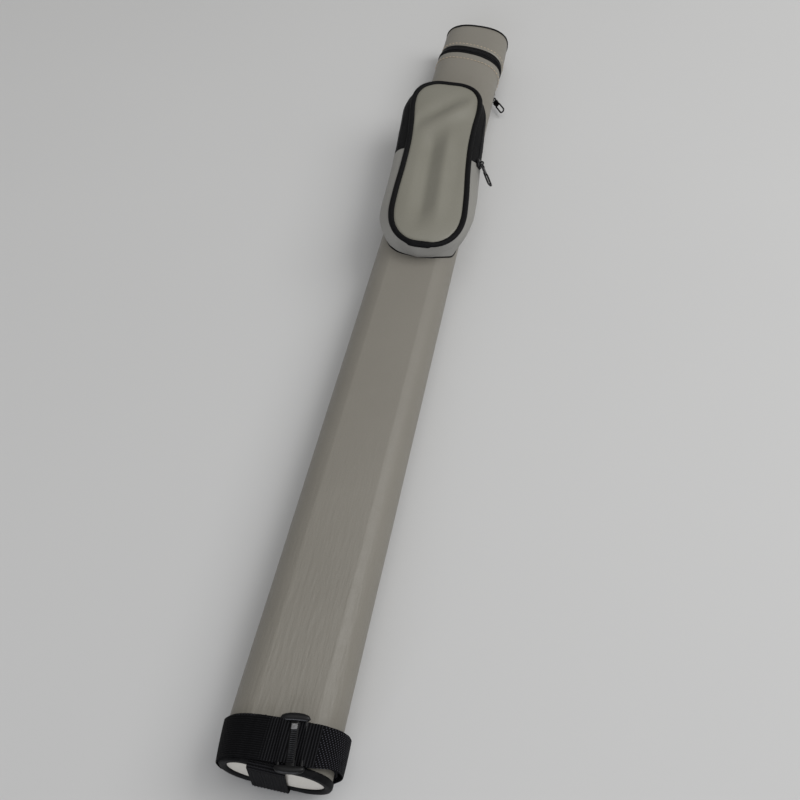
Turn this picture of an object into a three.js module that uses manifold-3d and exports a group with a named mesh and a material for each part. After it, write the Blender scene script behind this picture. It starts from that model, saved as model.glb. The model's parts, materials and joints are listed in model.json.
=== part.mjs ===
// Hard oval cue case, lying on its back: length along Y (lid at +Y), pocket on top (+Z), width along X.
// Millimetres. Until the last lines the tube's own axis is the Y axis, and y = 0 is the tube's lower end.
import * as THREE from "three";
import { mergeVertices } from "three/addons/utils/BufferGeometryUtils.js";
import { ConvexGeometry } from "three/addons/geometries/ConvexGeometry.js";
import Module from "manifold-3d";

const wasm = await Module();
wasm.setup();

// ---- driving dimensions -------------------------------------------------------------------------
const caseLength = 850;
const coverRadius = 20.5; // round sides of the oval section
const halfFlat = 15.75; // half of the flat front and back of the section
const coverThickness = 0.9;
const shellThickness = 1.5;
const fitGap = 0.1; // between pieces glued or sewn face to face
const workGap = 0.3; // between pieces that move past each other

const zipMiddle = 794; // where the lid parts from the body, on the centre line
const zipHalfBand = 7; // half of the zip's visible width
const zipTilt = THREE.MathUtils.degToRad(-7); // the zip runs lower on the right side
const lidShift = 1; // the soft lid sits a little to the right
const tapeThickness = 0.8;
const teethHeight = 0.9;
const teethHalfWidth = 2.3;
const hingeHalfWidth = 13.5; // leatherette hinge across the flat back

const tailAngle = THREE.MathUtils.degToRad(-45); // the zip's tail runs down the rear of the right side
const tailBottom = 757;
const tailHalfWidth = 5.5;
const lidSliderY = 768;
const lidPullYaw = THREE.MathUtils.degToRad(-24);

const buttSleeveRadius = 16.2; // inside: a cue butt
const shaftSleeveRadius = 11.5; // inside: a cue shaft's joint end
const sleeveWall = 0.7;
const baseBoardTop = 8;
const padTop = 14;
const coreTop = 782;
const collarRise = 3.5; // stays clear of the lid as it swings
const collarOuter = 16.7;
const collarInner = 16.2;
const baseFace = -3; // the lower end's binding and panel stand out this far
const baseBinding = { outer: 21.1, inner: 17.9 };
const basePanelRadius = 17.8;
const lidTop = caseLength;
const lidCoverTop = lidTop - 1.5;
const lidBoardBottom = lidTop - 5;
const lidPadBottom = lidTop - 11;
const lidPanel = { radius: 18.4, bottom: lidTop - 1.4, top: lidTop + 1.2 };
const lidBinding = { outer: 21, inner: 18.5, top: lidTop + 0.6 };
const lidEnd = { low: 700, high: 900 }; // room for cutting shapes out of the lid's end of the case

const webbing = 1.6; // thickness of one layer of webbing
const windingThickness = 2.5; // the inner turns, pressed together
const strapLegGap = 0.7; // under the base strap's legs
const bandBottom = 0.4;
const bandTop = 27.5;
const bandEndX = 23; // the wound webbing's cut end on the front
const baseStrapCentre = -3.3;
const baseStrapHalfWidth = 12.4;
const strapHalfWidth = 14.5;
const anchorBottom = 700;
const anchorTop = 742;

const triglide = { centreX: 8, centreY: 13.4, width: 17, length: 36, thick: 3.2, bar: 2.8, middleBar: 2.6 };

const pocketCentre = new THREE.Vector2(-1, 570);
const pocketTurn = THREE.MathUtils.degToRad(3.8); // its top leans to the left
const panelHalfLength = 123.5;
const bindingWidth = 5;
const panelTopZ = 38.1;
const panelThickness = 1.7;
const bindingTopZ = 39;
const gussetThickness = 1.5;
const pocketZipZ = 31.5; // height of the pocket zip's teeth above the case's axis
const pocketSplit = 6; // along the pocket from its middle: the zip ends and the flap folds here
const pocketSliderU = 40.1; // just outside the wall, across the pocket
const pocketSliderV = 2;
const pocketSliderTilt = THREE.MathUtils.degToRad(32); // the wall leans in, so the slider faces up a little
const pocketPullYaw = THREE.MathUtils.degToRad(20);
const pocketTeethHalf = 1.4;
const wallHalfLength = 127;
const wallBulgeLow = 21; // the pocket's side wall is widest between these heights
const wallBulgeHigh = 27;
const wallFootInset = 7;
const wallFootZ = 5;

const arcSteps = 12; // half of the segments in each round side or bore

// ---- solids and booleans ------------------------------------------------------------------------
function toSolid(geometry) {
  const bare = geometry.clone();
  bare.deleteAttribute("normal");
  bare.deleteAttribute("uv");
  const merged = mergeVertices(bare, 1e-4);
  return new wasm.Manifold(new wasm.Mesh({
    numProp: 3,
    vertProperties: new Float32Array(merged.attributes.position.array),
    triVerts: new Uint32Array(merged.index.array),
  }));
}

function toGeometry(solid) {
  const mesh = solid.getMesh();
  const geometry = new THREE.BufferGeometry();
  geometry.setAttribute("position", new THREE.BufferAttribute(new Float32Array(mesh.vertProperties), 3));
  geometry.setIndex(new THREE.BufferAttribute(new Uint32Array(mesh.triVerts), 1));
  return geometry;
}

function boxSolid(low, high) {
  const size = new THREE.Vector3().subVectors(high, low);
  const geometry = new THREE.BoxGeometry(size.x, size.y, size.z);
  geometry.translate(low.x + size.x / 2, low.y + size.y / 2, low.z + size.z / 2);
  return toSolid(geometry);
}

const vec = (x, y, z) => new THREE.Vector3(x, y, z);

// Stadium outline in the section plane: flat front and back, round sides.
function stadium(radius, target = new THREE.Shape()) {
  target.moveTo(halfFlat, -radius);
  target.absarc(halfFlat, 0, radius, -Math.PI / 2, Math.PI / 2, false);
  target.absarc(-halfFlat, 0, radius, Math.PI / 2, Math.PI * 1.5, false);
  target.closePath();
  return target;
}

// A section in the X-Z plane, run along Y from y0 to y1.
function alongY(shape, y0, y1, bevel = 0) {
  const options = { depth: y1 - y0 - 2 * bevel, steps: 1, curveSegments: arcSteps, bevelEnabled: bevel > 0 };
  if (bevel > 0) {
    Object.assign(options, { bevelThickness: bevel, bevelSize: bevel, bevelOffset: -bevel, bevelSegments: 2 });
  }
  const geometry = new THREE.ExtrudeGeometry(shape, options);
  geometry.rotateX(Math.PI / 2);
  geometry.translate(0, y1 - bevel, 0);
  return geometry;
}

function stadiumPrism(radius, y0, y1, bevel = 0) {
  return alongY(stadium(radius), y0, y1, bevel);
}

function stadiumTube(outer, inner, y0, y1) {
  const shape = stadium(outer);
  shape.holes.push(stadium(inner, new THREE.Path()));
  return alongY(shape, y0, y1);
}

function disc(x, radius, target = new THREE.Shape()) {
  target.absarc(x, 0, radius, 0, Math.PI * 2, false);
  return target;
}

function roundTube(x, outer, inner, y0, y1) {
  const shape = disc(x, outer);
  shape.holes.push(disc(x, inner, new THREE.Path()));
  const geometry = new THREE.ExtrudeGeometry(shape, {
    depth: y1 - y0, steps: 1, curveSegments: arcSteps, bevelEnabled: false,
  });
  geometry.rotateX(Math.PI / 2);
  geometry.translate(0, y1, 0);
  return geometry;
}

// Everything on one side of the tilted zip plane, moved `offset` along the case from its middle.
function zipSide(offset, upper) {
  const reach = 2000;
  const geometry = new THREE.BoxGeometry(300, reach, 300);
  geometry.translate(0, upper ? reach / 2 : -reach / 2, 0);
  geometry.rotateZ(zipTilt);
  geometry.translate(0, zipMiddle + offset, 0);
  return toSolid(geometry);
}

const belowZip = (geometry, offset) => toSolid(geometry).intersect(zipSide(offset, false));
const aboveZip = (geometry, offset) => toSolid(geometry).intersect(zipSide(offset, true));

// ---- materials and the group --------------------------------------------------------------------
const looks = {
  leatherette: { color: 0x837f76, roughness: 0.5, metalness: 0 },
  innerBoard: { color: 0x6b5a45, roughness: 0.8, metalness: 0 },
  foam: { color: 0x3a3a3c, roughness: 0.95, metalness: 0 },
  sleeve: { color: 0x1d1d20, roughness: 0.6, metalness: 0 },
  webbing: { color: 0x121214, roughness: 0.85, metalness: 0 },
  zipTape: { color: 0x141416, roughness: 0.9, metalness: 0 },
  zipTeeth: { color: 0x0e0e10, roughness: 0.45, metalness: 0 },
  binding: { color: 0x101011, roughness: 0.5, metalness: 0 },
  plastic: { color: 0x18181a, roughness: 0.3, metalness: 0 },
  metal: { color: 0x1c1c1f, roughness: 0.35, metalness: 0.8 },
};

const group = new THREE.Group();

function add(name, shape, look, parent = group) {
  const geometry = shape.isBufferGeometry ? shape : toGeometry(shape);
  const mesh = new THREE.Mesh(geometry, new THREE.MeshStandardMaterial(looks[look]));
  mesh.name = name;
  parent.add(mesh);
}

// ---- tube ---------------------------------------------------------------------------------------
const coverInside = coverRadius - coverThickness;
const shellRadius = coverInside - fitGap;
const shellInside = shellRadius - shellThickness;
const coreRadius = shellInside - fitGap;
const bodySeam = -workGap / 2;
const lidSeam = workGap / 2;

// A block that stands on the zip's tail: `halfWidth` to each side, between two radii and two heights.
function tailBlock(halfWidth, inner, outer, y0, y1) {
  const geometry = new THREE.BoxGeometry(outer - inner, y1 - y0, 2 * halfWidth);
  geometry.translate((outer + inner) / 2, (y0 + y1) / 2, 0);
  geometry.rotateY(-tailAngle);
  geometry.translate(halfFlat, 0, 0);
  return toSolid(geometry);
}

const tailCut = tailBlock(tailHalfWidth, coverInside - 2, coverRadius + 2, tailBottom, caseLength);
add("outer_cover", belowZip(stadiumTube(coverRadius, coverInside, 0, caseLength), -zipHalfBand).subtract(tailCut),
  "leatherette");
add("tube_shell", belowZip(stadiumTube(shellRadius, shellInside, 0, caseLength), bodySeam), "innerBoard");

const core = stadium(coreRadius);
core.holes.push(disc(-halfFlat, buttSleeveRadius + sleeveWall + fitGap, new THREE.Path()));
core.holes.push(disc(halfFlat, shaftSleeveRadius + sleeveWall + fitGap, new THREE.Path()));
add("foam_core", alongY(core, baseBoardTop + fitGap, coreTop), "foam");
add("butt_sleeve", roundTube(-halfFlat, buttSleeveRadius + sleeveWall, buttSleeveRadius, padTop + fitGap, coreTop),
  "sleeve");
add("shaft_sleeve", roundTube(halfFlat, shaftSleeveRadius + sleeveWall, shaftSleeveRadius, padTop + fitGap, coreTop),
  "sleeve");
add("butt_pad", alongY(disc(-halfFlat, buttSleeveRadius), baseBoardTop + fitGap, padTop), "foam");
add("shaft_pad", alongY(disc(halfFlat, shaftSleeveRadius), baseBoardTop + fitGap, padTop), "foam");
add("mouth_collar", belowZip(stadiumTube(collarOuter, collarInner, coreTop + fitGap, caseLength), collarRise),
  "sleeve");
add("base_board", stadiumPrism(coreRadius, 0, baseBoardTop), "innerBoard");

// ---- base ---------------------------------------------------------------------------------------
add("base_binding", stadiumTube(baseBinding.outer, baseBinding.inner, baseFace, -fitGap), "binding");
add("base_panel", stadiumPrism(basePanelRadius, baseFace - 0.4, -fitGap, 1.2), "leatherette");

// Webbing that crosses the base from front to back and runs under the wound strap on both sides.
function baseStrapShape(extra) {
  const outerZ = coverRadius + strapLegGap + webbing + extra;
  const innerZ = coverRadius + strapLegGap - extra;
  const faceY = baseFace - 0.5 + extra;
  const bottomY = faceY - webbing - 2 * extra;
  const legTop = bandTop - 2 + extra;
  const shape = new THREE.Shape();
  shape.moveTo(bottomY, -outerZ);
  shape.lineTo(legTop, -outerZ);
  shape.lineTo(legTop, -innerZ);
  shape.lineTo(faceY, -innerZ);
  shape.lineTo(faceY, innerZ);
  shape.lineTo(legTop, innerZ);
  shape.lineTo(legTop, outerZ);
  shape.lineTo(bottomY, outerZ);
  shape.closePath();
  const halfWidth = baseStrapHalfWidth + extra;
  const geometry = new THREE.ExtrudeGeometry(shape, { depth: 2 * halfWidth, steps: 1, bevelEnabled: false });
  // shape x -> Y, shape y -> Z, depth -> X
  geometry.applyMatrix4(new THREE.Matrix4().makeBasis(vec(0, 1, 0), vec(0, 0, 1), vec(1, 0, 0)));
  geometry.translate(baseStrapCentre - halfWidth, 0, 0);
  return geometry;
}

add("base_strap", baseStrapShape(0), "webbing");

// ---- shoulder strap, wound round the lower end ----------------------------------------------------
const windingInside = coverRadius + fitGap;
const windingOutside = windingInside + windingThickness;
const outerTurnInside = windingOutside + fitGap;
const outerTurnOutside = outerTurnInside + webbing;
const winding = toSolid(stadiumTube(windingOutside, windingInside, bandBottom, bandTop));
add("strap_winding", winding.subtract(toSolid(baseStrapShape(0.15))), "webbing");

// The outer turn comes round from the left to the tri-glide, and its cut end shows on the other side.
const triglideLeft = triglide.centreX - triglide.width / 2 - workGap;
const triglideRight = triglide.centreX + triglide.width / 2 + workGap;
const outerTurn = toSolid(stadiumTube(outerTurnOutside, outerTurnInside, bandBottom, bandTop));
add("strap_outer_turn", outerTurn.subtract(boxSolid(vec(triglideLeft, -20, 0), vec(60, 60, 60))), "webbing");
add("strap_end", boxSolid(
  vec(triglideRight, bandBottom, outerTurnInside),
  vec(bandEndX, bandTop, outerTurnOutside),
), "webbing");

const backRun = boxSolid(
  vec(-strapHalfWidth, bandTop + workGap, -coverRadius - fitGap - webbing),
  vec(strapHalfWidth, anchorBottom, -coverRadius - fitGap),
);
const foldedEnd = boxSolid(
  vec(-strapHalfWidth, anchorBottom - 1, -coverRadius - fitGap - 2 * webbing),
  vec(strapHalfWidth, anchorTop, -coverRadius - fitGap),
);
add("strap_back_run", backRun.add(foldedEnd), "webbing");
add("strap_anchor_patch", boxSolid(
  vec(-strapHalfWidth - 4, anchorBottom - 4, -outerTurnOutside),
  vec(strapHalfWidth + 4, anchorTop + 5, -coverRadius - 2 * fitGap - 2 * webbing),
), "leatherette");

function roundedRectangle(width, height, radius, target = new THREE.Shape()) {
  const x = width / 2 - radius;
  const y = height / 2 - radius;
  target.moveTo(width / 2, -y);
  target.absarc(x, y, radius, 0, Math.PI / 2, false);
  target.absarc(-x, y, radius, Math.PI / 2, Math.PI, false);
  target.absarc(-x, -y, radius, Math.PI, Math.PI * 1.5, false);
  target.absarc(x, -y, radius, Math.PI * 1.5, Math.PI * 2, false);
  target.closePath();
  return target;
}

function slotPath(centreX, width, height) {
  const path = roundedRectangle(width, height, 1, new THREE.Path());
  const moved = path.getPoints(3).map((point) => new THREE.Vector2(point.x + centreX, point.y));
  return new THREE.Path(moved);
}

function triglideGeometry() {
  const { width, length, thick, bar, middleBar } = triglide;
  const shape = roundedRectangle(width, length, 4);
  const slotWidth = (width - 2 * bar - middleBar) / 2;
  for (const side of [-1, 1]) {
    shape.holes.push(slotPath(side * (middleBar + slotWidth) / 2, slotWidth, length - 2 * bar - 1));
  }
  const geometry = new THREE.ExtrudeGeometry(shape, {
    depth: thick, steps: 1, curveSegments: 4, bevelEnabled: false,
  });
  geometry.translate(triglide.centreX, triglide.centreY, outerTurnInside);
  return geometry;
}

add("triglide", triglideGeometry(), "plastic");

// ---- lid ------------------------------------------------------------------------------------------
const lid = new THREE.Group();
lid.position.x = lidShift;
group.add(lid);
const lidInLid = (geometry, offset) => aboveZip(geometry.translate(lidShift, 0, 0), offset)
  .translate([-lidShift, 0, 0]);
add("lid_cover", lidInLid(stadiumTube(coverRadius, coverInside, lidEnd.low, lidCoverTop), zipHalfBand),
  "leatherette", lid);
add("lid_shell", lidInLid(stadiumTube(shellRadius, shellInside, lidEnd.low, lidCoverTop), lidSeam), "innerBoard", lid);
add("lid_board", stadiumPrism(coreRadius, lidBoardBottom, lidCoverTop), "innerBoard", lid);
add("lid_pad", stadiumPrism(coreRadius, lidPadBottom, lidBoardBottom - fitGap), "foam", lid);
add("lid_top_panel", stadiumPrism(lidPanel.radius, lidPanel.bottom, lidPanel.top, 0.8), "leatherette", lid);
add("lid_binding", stadiumTube(lidBinding.outer, lidBinding.inner, lidPanel.bottom, lidBinding.top), "binding", lid);

// ---- lid zip --------------------------------------------------------------------------------------
const tapeInside = coverInside;
const tapeOutside = tapeInside + tapeThickness;
const teethInside = tapeOutside + 0.05;
const teethOutside = teethInside + teethHeight;
// Both cuts keep the zip off the hinge line.
const hingeCut = boxSolid(
  vec(-hingeHalfWidth - 0.4, lidEnd.low, -2 * coverRadius), vec(hingeHalfWidth + 0.4, lidEnd.high, -coverRadius / 2),
);
const backCut = boxSolid(vec(-60, lidEnd.low, -2 * coverRadius), vec(60, lidEnd.high, 0.2 - coverInside));

const between = (geometry, low, high) => toSolid(geometry).intersect(zipSide(low, true))
  .intersect(zipSide(high, false));
const tapeBand = () => stadiumTube(tapeOutside, tapeInside, lidEnd.low, caseLength);
const teethBand = () => stadiumTube(teethOutside, teethInside, lidEnd.low, caseLength);
const lowTape = between(tapeBand(), -zipHalfBand + fitGap, bodySeam).subtract(hingeCut);
const tailTape = toSolid(tapeBand()).intersect(zipSide(-zipHalfBand + 0.5, false))
  .intersect(tailBlock(tailHalfWidth - 0.2, 15, 25, tailBottom + 0.2, caseLength));
add("body_zip_tape", lowTape.add(tailTape), "zipTape");
const lowTeeth = between(teethBand(), -teethHalfWidth, bodySeam).subtract(backCut);
const tailTeeth = toSolid(teethBand()).intersect(zipSide(-teethHalfWidth - 0.4, false))
  .intersect(tailBlock(teethHalfWidth, 15, 25, tailBottom + 4, caseLength));
add("body_zip_teeth", lowTeeth, "zipTeeth");
add("tail_zip_teeth", tailTeeth, "zipTeeth");
add("zip_bottom_stop", toSolid(teethBand())
  .intersect(tailBlock(teethHalfWidth, 15, 25, tailBottom + 1, tailBottom + 3.5)), "metal");

const lidTape = between(tapeBand().translate(lidShift, 0, 0), lidSeam, zipHalfBand - fitGap)
  .subtract(hingeCut).translate([-lidShift, 0, 0]);
add("lid_zip_tape", lidTape, "zipTape", lid);
const lidTeeth = between(teethBand().translate(lidShift, 0, 0), lidSeam, teethHalfWidth)
  .subtract(backCut).translate([-lidShift, 0, 0]);
add("lid_zip_teeth", lidTeeth, "zipTeeth", lid);

// Living hinge across the back, in two halves that meet at the fold.
function hingeHalf(low, high) {
  const strip = boxSolid(
    vec(-hingeHalfWidth, lidEnd.low, -coverRadius),
    vec(hingeHalfWidth, lidEnd.high, -shellRadius - fitGap),
  );
  return strip.intersect(zipSide(low, true)).intersect(zipSide(high, false));
}
add("hinge_lower_half", hingeHalf(-zipHalfBand + fitGap, bodySeam), "leatherette");
add("hinge_upper_half", hingeHalf(lidSeam, zipHalfBand - fitGap).translate([-lidShift, 0, 0]), "leatherette", lid);

// ---- zip sliders and pulls ------------------------------------------------------------------------
// Local frame: +Y is the way the slider closes from, +Z leaves the tape, the tape's face is z = 0.
const slider = { halfWidth: 4.3, halfLength: 5, height: 3, bridgeHalfWidth: 1.1, bridgeHeight: 3.6, bridgeWall: 1.1 };
const pull = { halfWidth: 3.1, length: 30, thick: 1.3, eye: 5.4, eyeHalfWidth: 2.3, bar: 1.3, pivotY: -1, loopLength: 15 };
pull.pivotZ = slider.height + 1.3;

function sliderGeometry() {
  const { halfWidth, halfLength, height, bridgeHalfWidth, bridgeHeight, bridgeWall } = slider;
  const outline = new THREE.Shape();
  outline.moveTo(-halfWidth, halfLength);
  outline.lineTo(-halfWidth * 0.62, -halfLength);
  outline.lineTo(halfWidth * 0.62, -halfLength);
  outline.lineTo(halfWidth, halfLength);
  outline.closePath();
  const plate = new THREE.ExtrudeGeometry(outline, { depth: height, steps: 1, bevelEnabled: false });
  const top = height + bridgeHeight;
  const arch = new THREE.Shape();
  arch.moveTo(-3.8, height - 0.5);
  arch.lineTo(3.8, height - 0.5);
  arch.lineTo(3.8, top - 1.2);
  arch.lineTo(2.6, top);
  arch.lineTo(-2.6, top);
  arch.lineTo(-3.8, top - 1.2);
  arch.closePath();
  const hole = new THREE.Path();
  hole.moveTo(-3.8 + bridgeWall, height + 0.2);
  hole.lineTo(3.8 - bridgeWall, height + 0.2);
  hole.lineTo(3.8 - bridgeWall, top - bridgeWall);
  hole.lineTo(-3.8 + bridgeWall, top - bridgeWall);
  hole.closePath();
  arch.holes.push(hole);
  const bridge = new THREE.ExtrudeGeometry(arch, { depth: 2 * bridgeHalfWidth, steps: 1, bevelEnabled: false });
  // shape x -> Y, shape y -> Z, depth -> X
  bridge.applyMatrix4(new THREE.Matrix4().makeBasis(vec(0, 1, 0), vec(0, 0, 1), vec(1, 0, 0)));
  bridge.translate(-bridgeHalfWidth, 0, 0);
  return toSolid(plate).add(toSolid(bridge));
}

// A flat pull that hangs towards -Y from a bar through the slider's bridge, with an open loop at its end.
function pullGeometry() {
  const { halfWidth, length, thick, eye, eyeHalfWidth, bar, loopLength } = pull;
  const shape = roundedRectangle(2 * halfWidth, length, halfWidth - 0.6);
  const points = shape.getPoints(4).map((p) => new THREE.Vector2(p.x, p.y - length / 2 + bar / 2));
  const outline = new THREE.Shape(points);
  const eyeHole = new THREE.Path();
  eyeHole.moveTo(-eyeHalfWidth, -bar / 2);
  eyeHole.lineTo(eyeHalfWidth, -bar / 2);
  eyeHole.lineTo(eyeHalfWidth, -eye);
  eyeHole.lineTo(-eyeHalfWidth, -eye);
  eyeHole.closePath();
  outline.holes.push(eyeHole);
  const loopTop = -length + bar / 2 + loopLength;
  const loopHole = roundedRectangle(2 * halfWidth - 2.6, loopLength - 1.6, 1.6, new THREE.Path());
  outline.holes.push(new THREE.Path(loopHole.getPoints(4).map(
    (p) => new THREE.Vector2(p.x, p.y + loopTop - loopLength / 2 + 0.1),
  )));
  const geometry = new THREE.ExtrudeGeometry(outline, { depth: thick, steps: 1, bevelEnabled: false });
  geometry.translate(0, 0, -thick / 2);
  return geometry;
}

// The pull is lifted off the case by `lift` and hangs askew by `yaw`, as its loose eye allows.
function addSlider(prefix, position, turnY, turnZ, lift, yaw) {
  const frame = new THREE.Group();
  frame.position.copy(position);
  frame.rotation.set(0, turnY, turnZ, "ZYX");
  group.add(frame);
  add(`${prefix}_slider`, sliderGeometry(), "metal", frame);
  const hanging = new THREE.Group();
  hanging.position.set(0, pull.pivotY, pull.pivotZ);
  hanging.rotation.set(-lift, 0, yaw);
  frame.add(hanging);
  add(`${prefix}_pull`, pullGeometry(), "metal", hanging);
}

const sliderRadius = teethOutside + workGap;
addSlider(
  "lid_zip",
  vec(halfFlat + sliderRadius * Math.cos(tailAngle), lidSliderY, sliderRadius * Math.sin(tailAngle)),
  Math.PI / 2 - tailAngle, 0, THREE.MathUtils.degToRad(22), lidPullYaw,
);

// ---- pocket ---------------------------------------------------------------------------------------
// Half-widths of the pocket's outlines at distances along the pocket from its middle.
const panelSide = [
  [-122.5, 11], [-116, 20.5], [-104, 27.6], [-88, 31], [-60, 31.2], [-15, 29.2],
  [22, 28.6], [55, 30], [86, 32.4], [103, 31], [115, 24.5], [122, 13],
];
const wallSide = [
  [-122, 14], [-112, 27], [-98, 35.5], [-78, 40.8], [-50, 42.6], [0, 42.4],
  [60, 42.6], [88, 41.4], [106, 35.5], [118, 25], [125, 12],
];

function outlineCurve(side, halfLength) {
  const right = side.map(([v, u]) => vec(u, v, 0));
  const left = [...side].reverse().map(([v, u]) => vec(-u, v, 0));
  const points = [vec(0, -halfLength, 0), ...right, vec(0, halfLength, 0), ...left];
  return new THREE.CatmullRomCurve3(points, true, "centripetal");
}

// Points of an outline, pushed outwards by `offset`, turned and placed on the case.
function pocketOutline(curve, offset, count = 44) {
  const points = [];
  for (let i = 0; i < count; i += 1) {
    const point = curve.getPoint(i / count);
    const tangent = curve.getTangent(i / count);
    const local = new THREE.Vector2(point.x + tangent.y * offset, point.y - tangent.x * offset);
    points.push(local.rotateAround(new THREE.Vector2(), pocketTurn).add(pocketCentre));
  }
  return points;
}

const panelCurve = outlineCurve(panelSide, panelHalfLength);
const wallCurve = outlineCurve(wallSide, wallHalfLength);

function plate(outer, inner, z0, z1) {
  const shape = new THREE.Shape(outer);
  if (inner) {
    shape.holes.push(new THREE.Path(inner));
  }
  const geometry = new THREE.ExtrudeGeometry(shape, { depth: z1 - z0, steps: 1, bevelEnabled: false });
  geometry.translate(0, 0, z0);
  return toSolid(geometry);
}

const wallTopZ = panelTopZ - panelThickness - fitGap;
function wallHull(offset, topZ, footZ) {
  const levels = [
    [wallCurve, offset - wallFootInset, footZ],
    [wallCurve, offset, wallBulgeLow],
    [wallCurve, offset, wallBulgeHigh],
    [panelCurve, offset + bindingWidth, topZ],
  ];
  const points = levels.flatMap(([curve, out, z]) => pocketOutline(curve, out).map((p) => vec(p.x, p.y, z)));
  return toSolid(new ConvexGeometry(points));
}

// One side of the pocket's fold line, across the pocket at `v` from its middle.
function pocketSide(v, upper) {
  const reach = 600;
  const geometry = new THREE.BoxGeometry(300, reach, 300);
  geometry.translate(0, v + (upper ? reach / 2 : -reach / 2), 0);
  geometry.rotateZ(pocketTurn);
  geometry.translate(pocketCentre.x, pocketCentre.y, 0);
  return toSolid(geometry);
}

const slab = (z0, z1) => boxSolid(vec(-200, 300, z0), vec(200, 800, z1));
const caseBody = toSolid(stadiumPrism(coverRadius + fitGap, 300, 800));
const wall = wallHull(0, wallTopZ, wallFootZ)
  .subtract(wallHull(-gussetThickness, wallTopZ + 0.5, wallFootZ - 1))
  .subtract(caseBody);
const lowerPart = pocketSide(pocketSplit - 0.2, false);
const upperPart = pocketSide(pocketSplit + 0.2, true);
const zipLow = pocketZipZ - pocketTeethHalf;
const zipHigh = pocketZipZ + pocketTeethHalf;

add("pocket_gusset", wall.intersect(lowerPart), "leatherette");
add("pocket_zip_tape", wall.intersect(upperPart).intersect(slab(0, zipLow - fitGap)), "zipTape");
add("pocket_zip_teeth", wall.intersect(upperPart).intersect(slab(zipLow, pocketZipZ - 0.15)), "zipTeeth");
add("flap_zip_teeth", wall.intersect(upperPart).intersect(slab(pocketZipZ + 0.15, zipHigh)), "zipTeeth");
add("flap_zip_tape", wall.intersect(upperPart).intersect(slab(zipHigh + fitGap, wallTopZ)), "zipTape");

const panelOutline = pocketOutline(panelCurve, 0);
const panelSolid = plate(panelOutline, null, panelTopZ - panelThickness, panelTopZ);
const bindingSolid = plate(
  pocketOutline(panelCurve, bindingWidth), pocketOutline(panelCurve, fitGap), panelTopZ - panelThickness, bindingTopZ,
);
add("pocket_panel", panelSolid.intersect(lowerPart), "leatherette");
add("pocket_binding", bindingSolid.intersect(lowerPart), "binding");
add("flap_panel", panelSolid.intersect(upperPart), "leatherette");
add("flap_binding", bindingSolid.intersect(upperPart), "binding");

const sliderAlong = new THREE.Vector2(pocketSliderU, pocketSliderV).rotateAround(new THREE.Vector2(), pocketTurn)
  .add(pocketCentre);
addSlider(
  "pocket_zip",
  vec(sliderAlong.x, sliderAlong.y, pocketZipZ + 0.3),
  Math.PI / 2 - pocketSliderTilt, pocketTurn, THREE.MathUtils.degToRad(15), pocketPullYaw,
);

// ---- stand the case on its lowest points, centred on the origin ------------------------------------
const bounds = new THREE.Box3().setFromObject(group, true);
const middle = bounds.getCenter(new THREE.Vector3());
group.position.set(-middle.x, -middle.y, -bounds.min.z);
group.updateMatrixWorld(true);

export default group;
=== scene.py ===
import json
import math

import bmesh
import bpy
from mathutils import Matrix, Quaternion, Vector, noise

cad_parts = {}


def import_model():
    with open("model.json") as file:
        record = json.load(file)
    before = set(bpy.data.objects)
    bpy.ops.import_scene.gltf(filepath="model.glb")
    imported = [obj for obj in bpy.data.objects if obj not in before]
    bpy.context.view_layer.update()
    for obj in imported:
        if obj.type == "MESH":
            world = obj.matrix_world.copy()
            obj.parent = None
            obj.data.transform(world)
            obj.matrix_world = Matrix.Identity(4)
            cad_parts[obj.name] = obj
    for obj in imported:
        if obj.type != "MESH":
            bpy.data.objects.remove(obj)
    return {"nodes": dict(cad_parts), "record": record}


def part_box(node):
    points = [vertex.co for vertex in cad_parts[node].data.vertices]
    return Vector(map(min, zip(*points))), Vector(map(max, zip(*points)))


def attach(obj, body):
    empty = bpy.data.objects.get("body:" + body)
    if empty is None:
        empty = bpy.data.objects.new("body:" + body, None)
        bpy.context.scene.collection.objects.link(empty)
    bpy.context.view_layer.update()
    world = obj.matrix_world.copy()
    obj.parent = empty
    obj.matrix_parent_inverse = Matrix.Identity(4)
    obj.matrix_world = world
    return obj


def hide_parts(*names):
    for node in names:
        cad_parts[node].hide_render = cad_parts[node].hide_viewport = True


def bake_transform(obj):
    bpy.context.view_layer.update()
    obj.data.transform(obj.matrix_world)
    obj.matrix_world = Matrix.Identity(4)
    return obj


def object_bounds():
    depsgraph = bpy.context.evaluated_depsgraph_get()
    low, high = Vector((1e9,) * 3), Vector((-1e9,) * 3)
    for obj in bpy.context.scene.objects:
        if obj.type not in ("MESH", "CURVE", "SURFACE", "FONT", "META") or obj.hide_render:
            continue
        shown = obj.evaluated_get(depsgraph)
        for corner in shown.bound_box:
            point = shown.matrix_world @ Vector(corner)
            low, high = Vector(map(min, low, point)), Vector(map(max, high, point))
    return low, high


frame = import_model()
cad_low, cad_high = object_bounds()

# Everything below is placed in millimetres from the tube's own axis: x across, y along from the tube's
# lower end, z up. place() turns that into the frame's metres.
MM = 0.001
WELD_DISTANCE = 1e-6
cover_low, cover_high = (Vector(corner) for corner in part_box("outer_cover"))
axis_point = Vector(((cover_low.x + cover_high.x) / 2, cover_low.y, (cover_low.z + cover_high.z) / 2))
half_width = (cover_high.x - cover_low.x) / 2 / MM
half_height = (cover_high.z - cover_low.z) / 2 / MM

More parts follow.
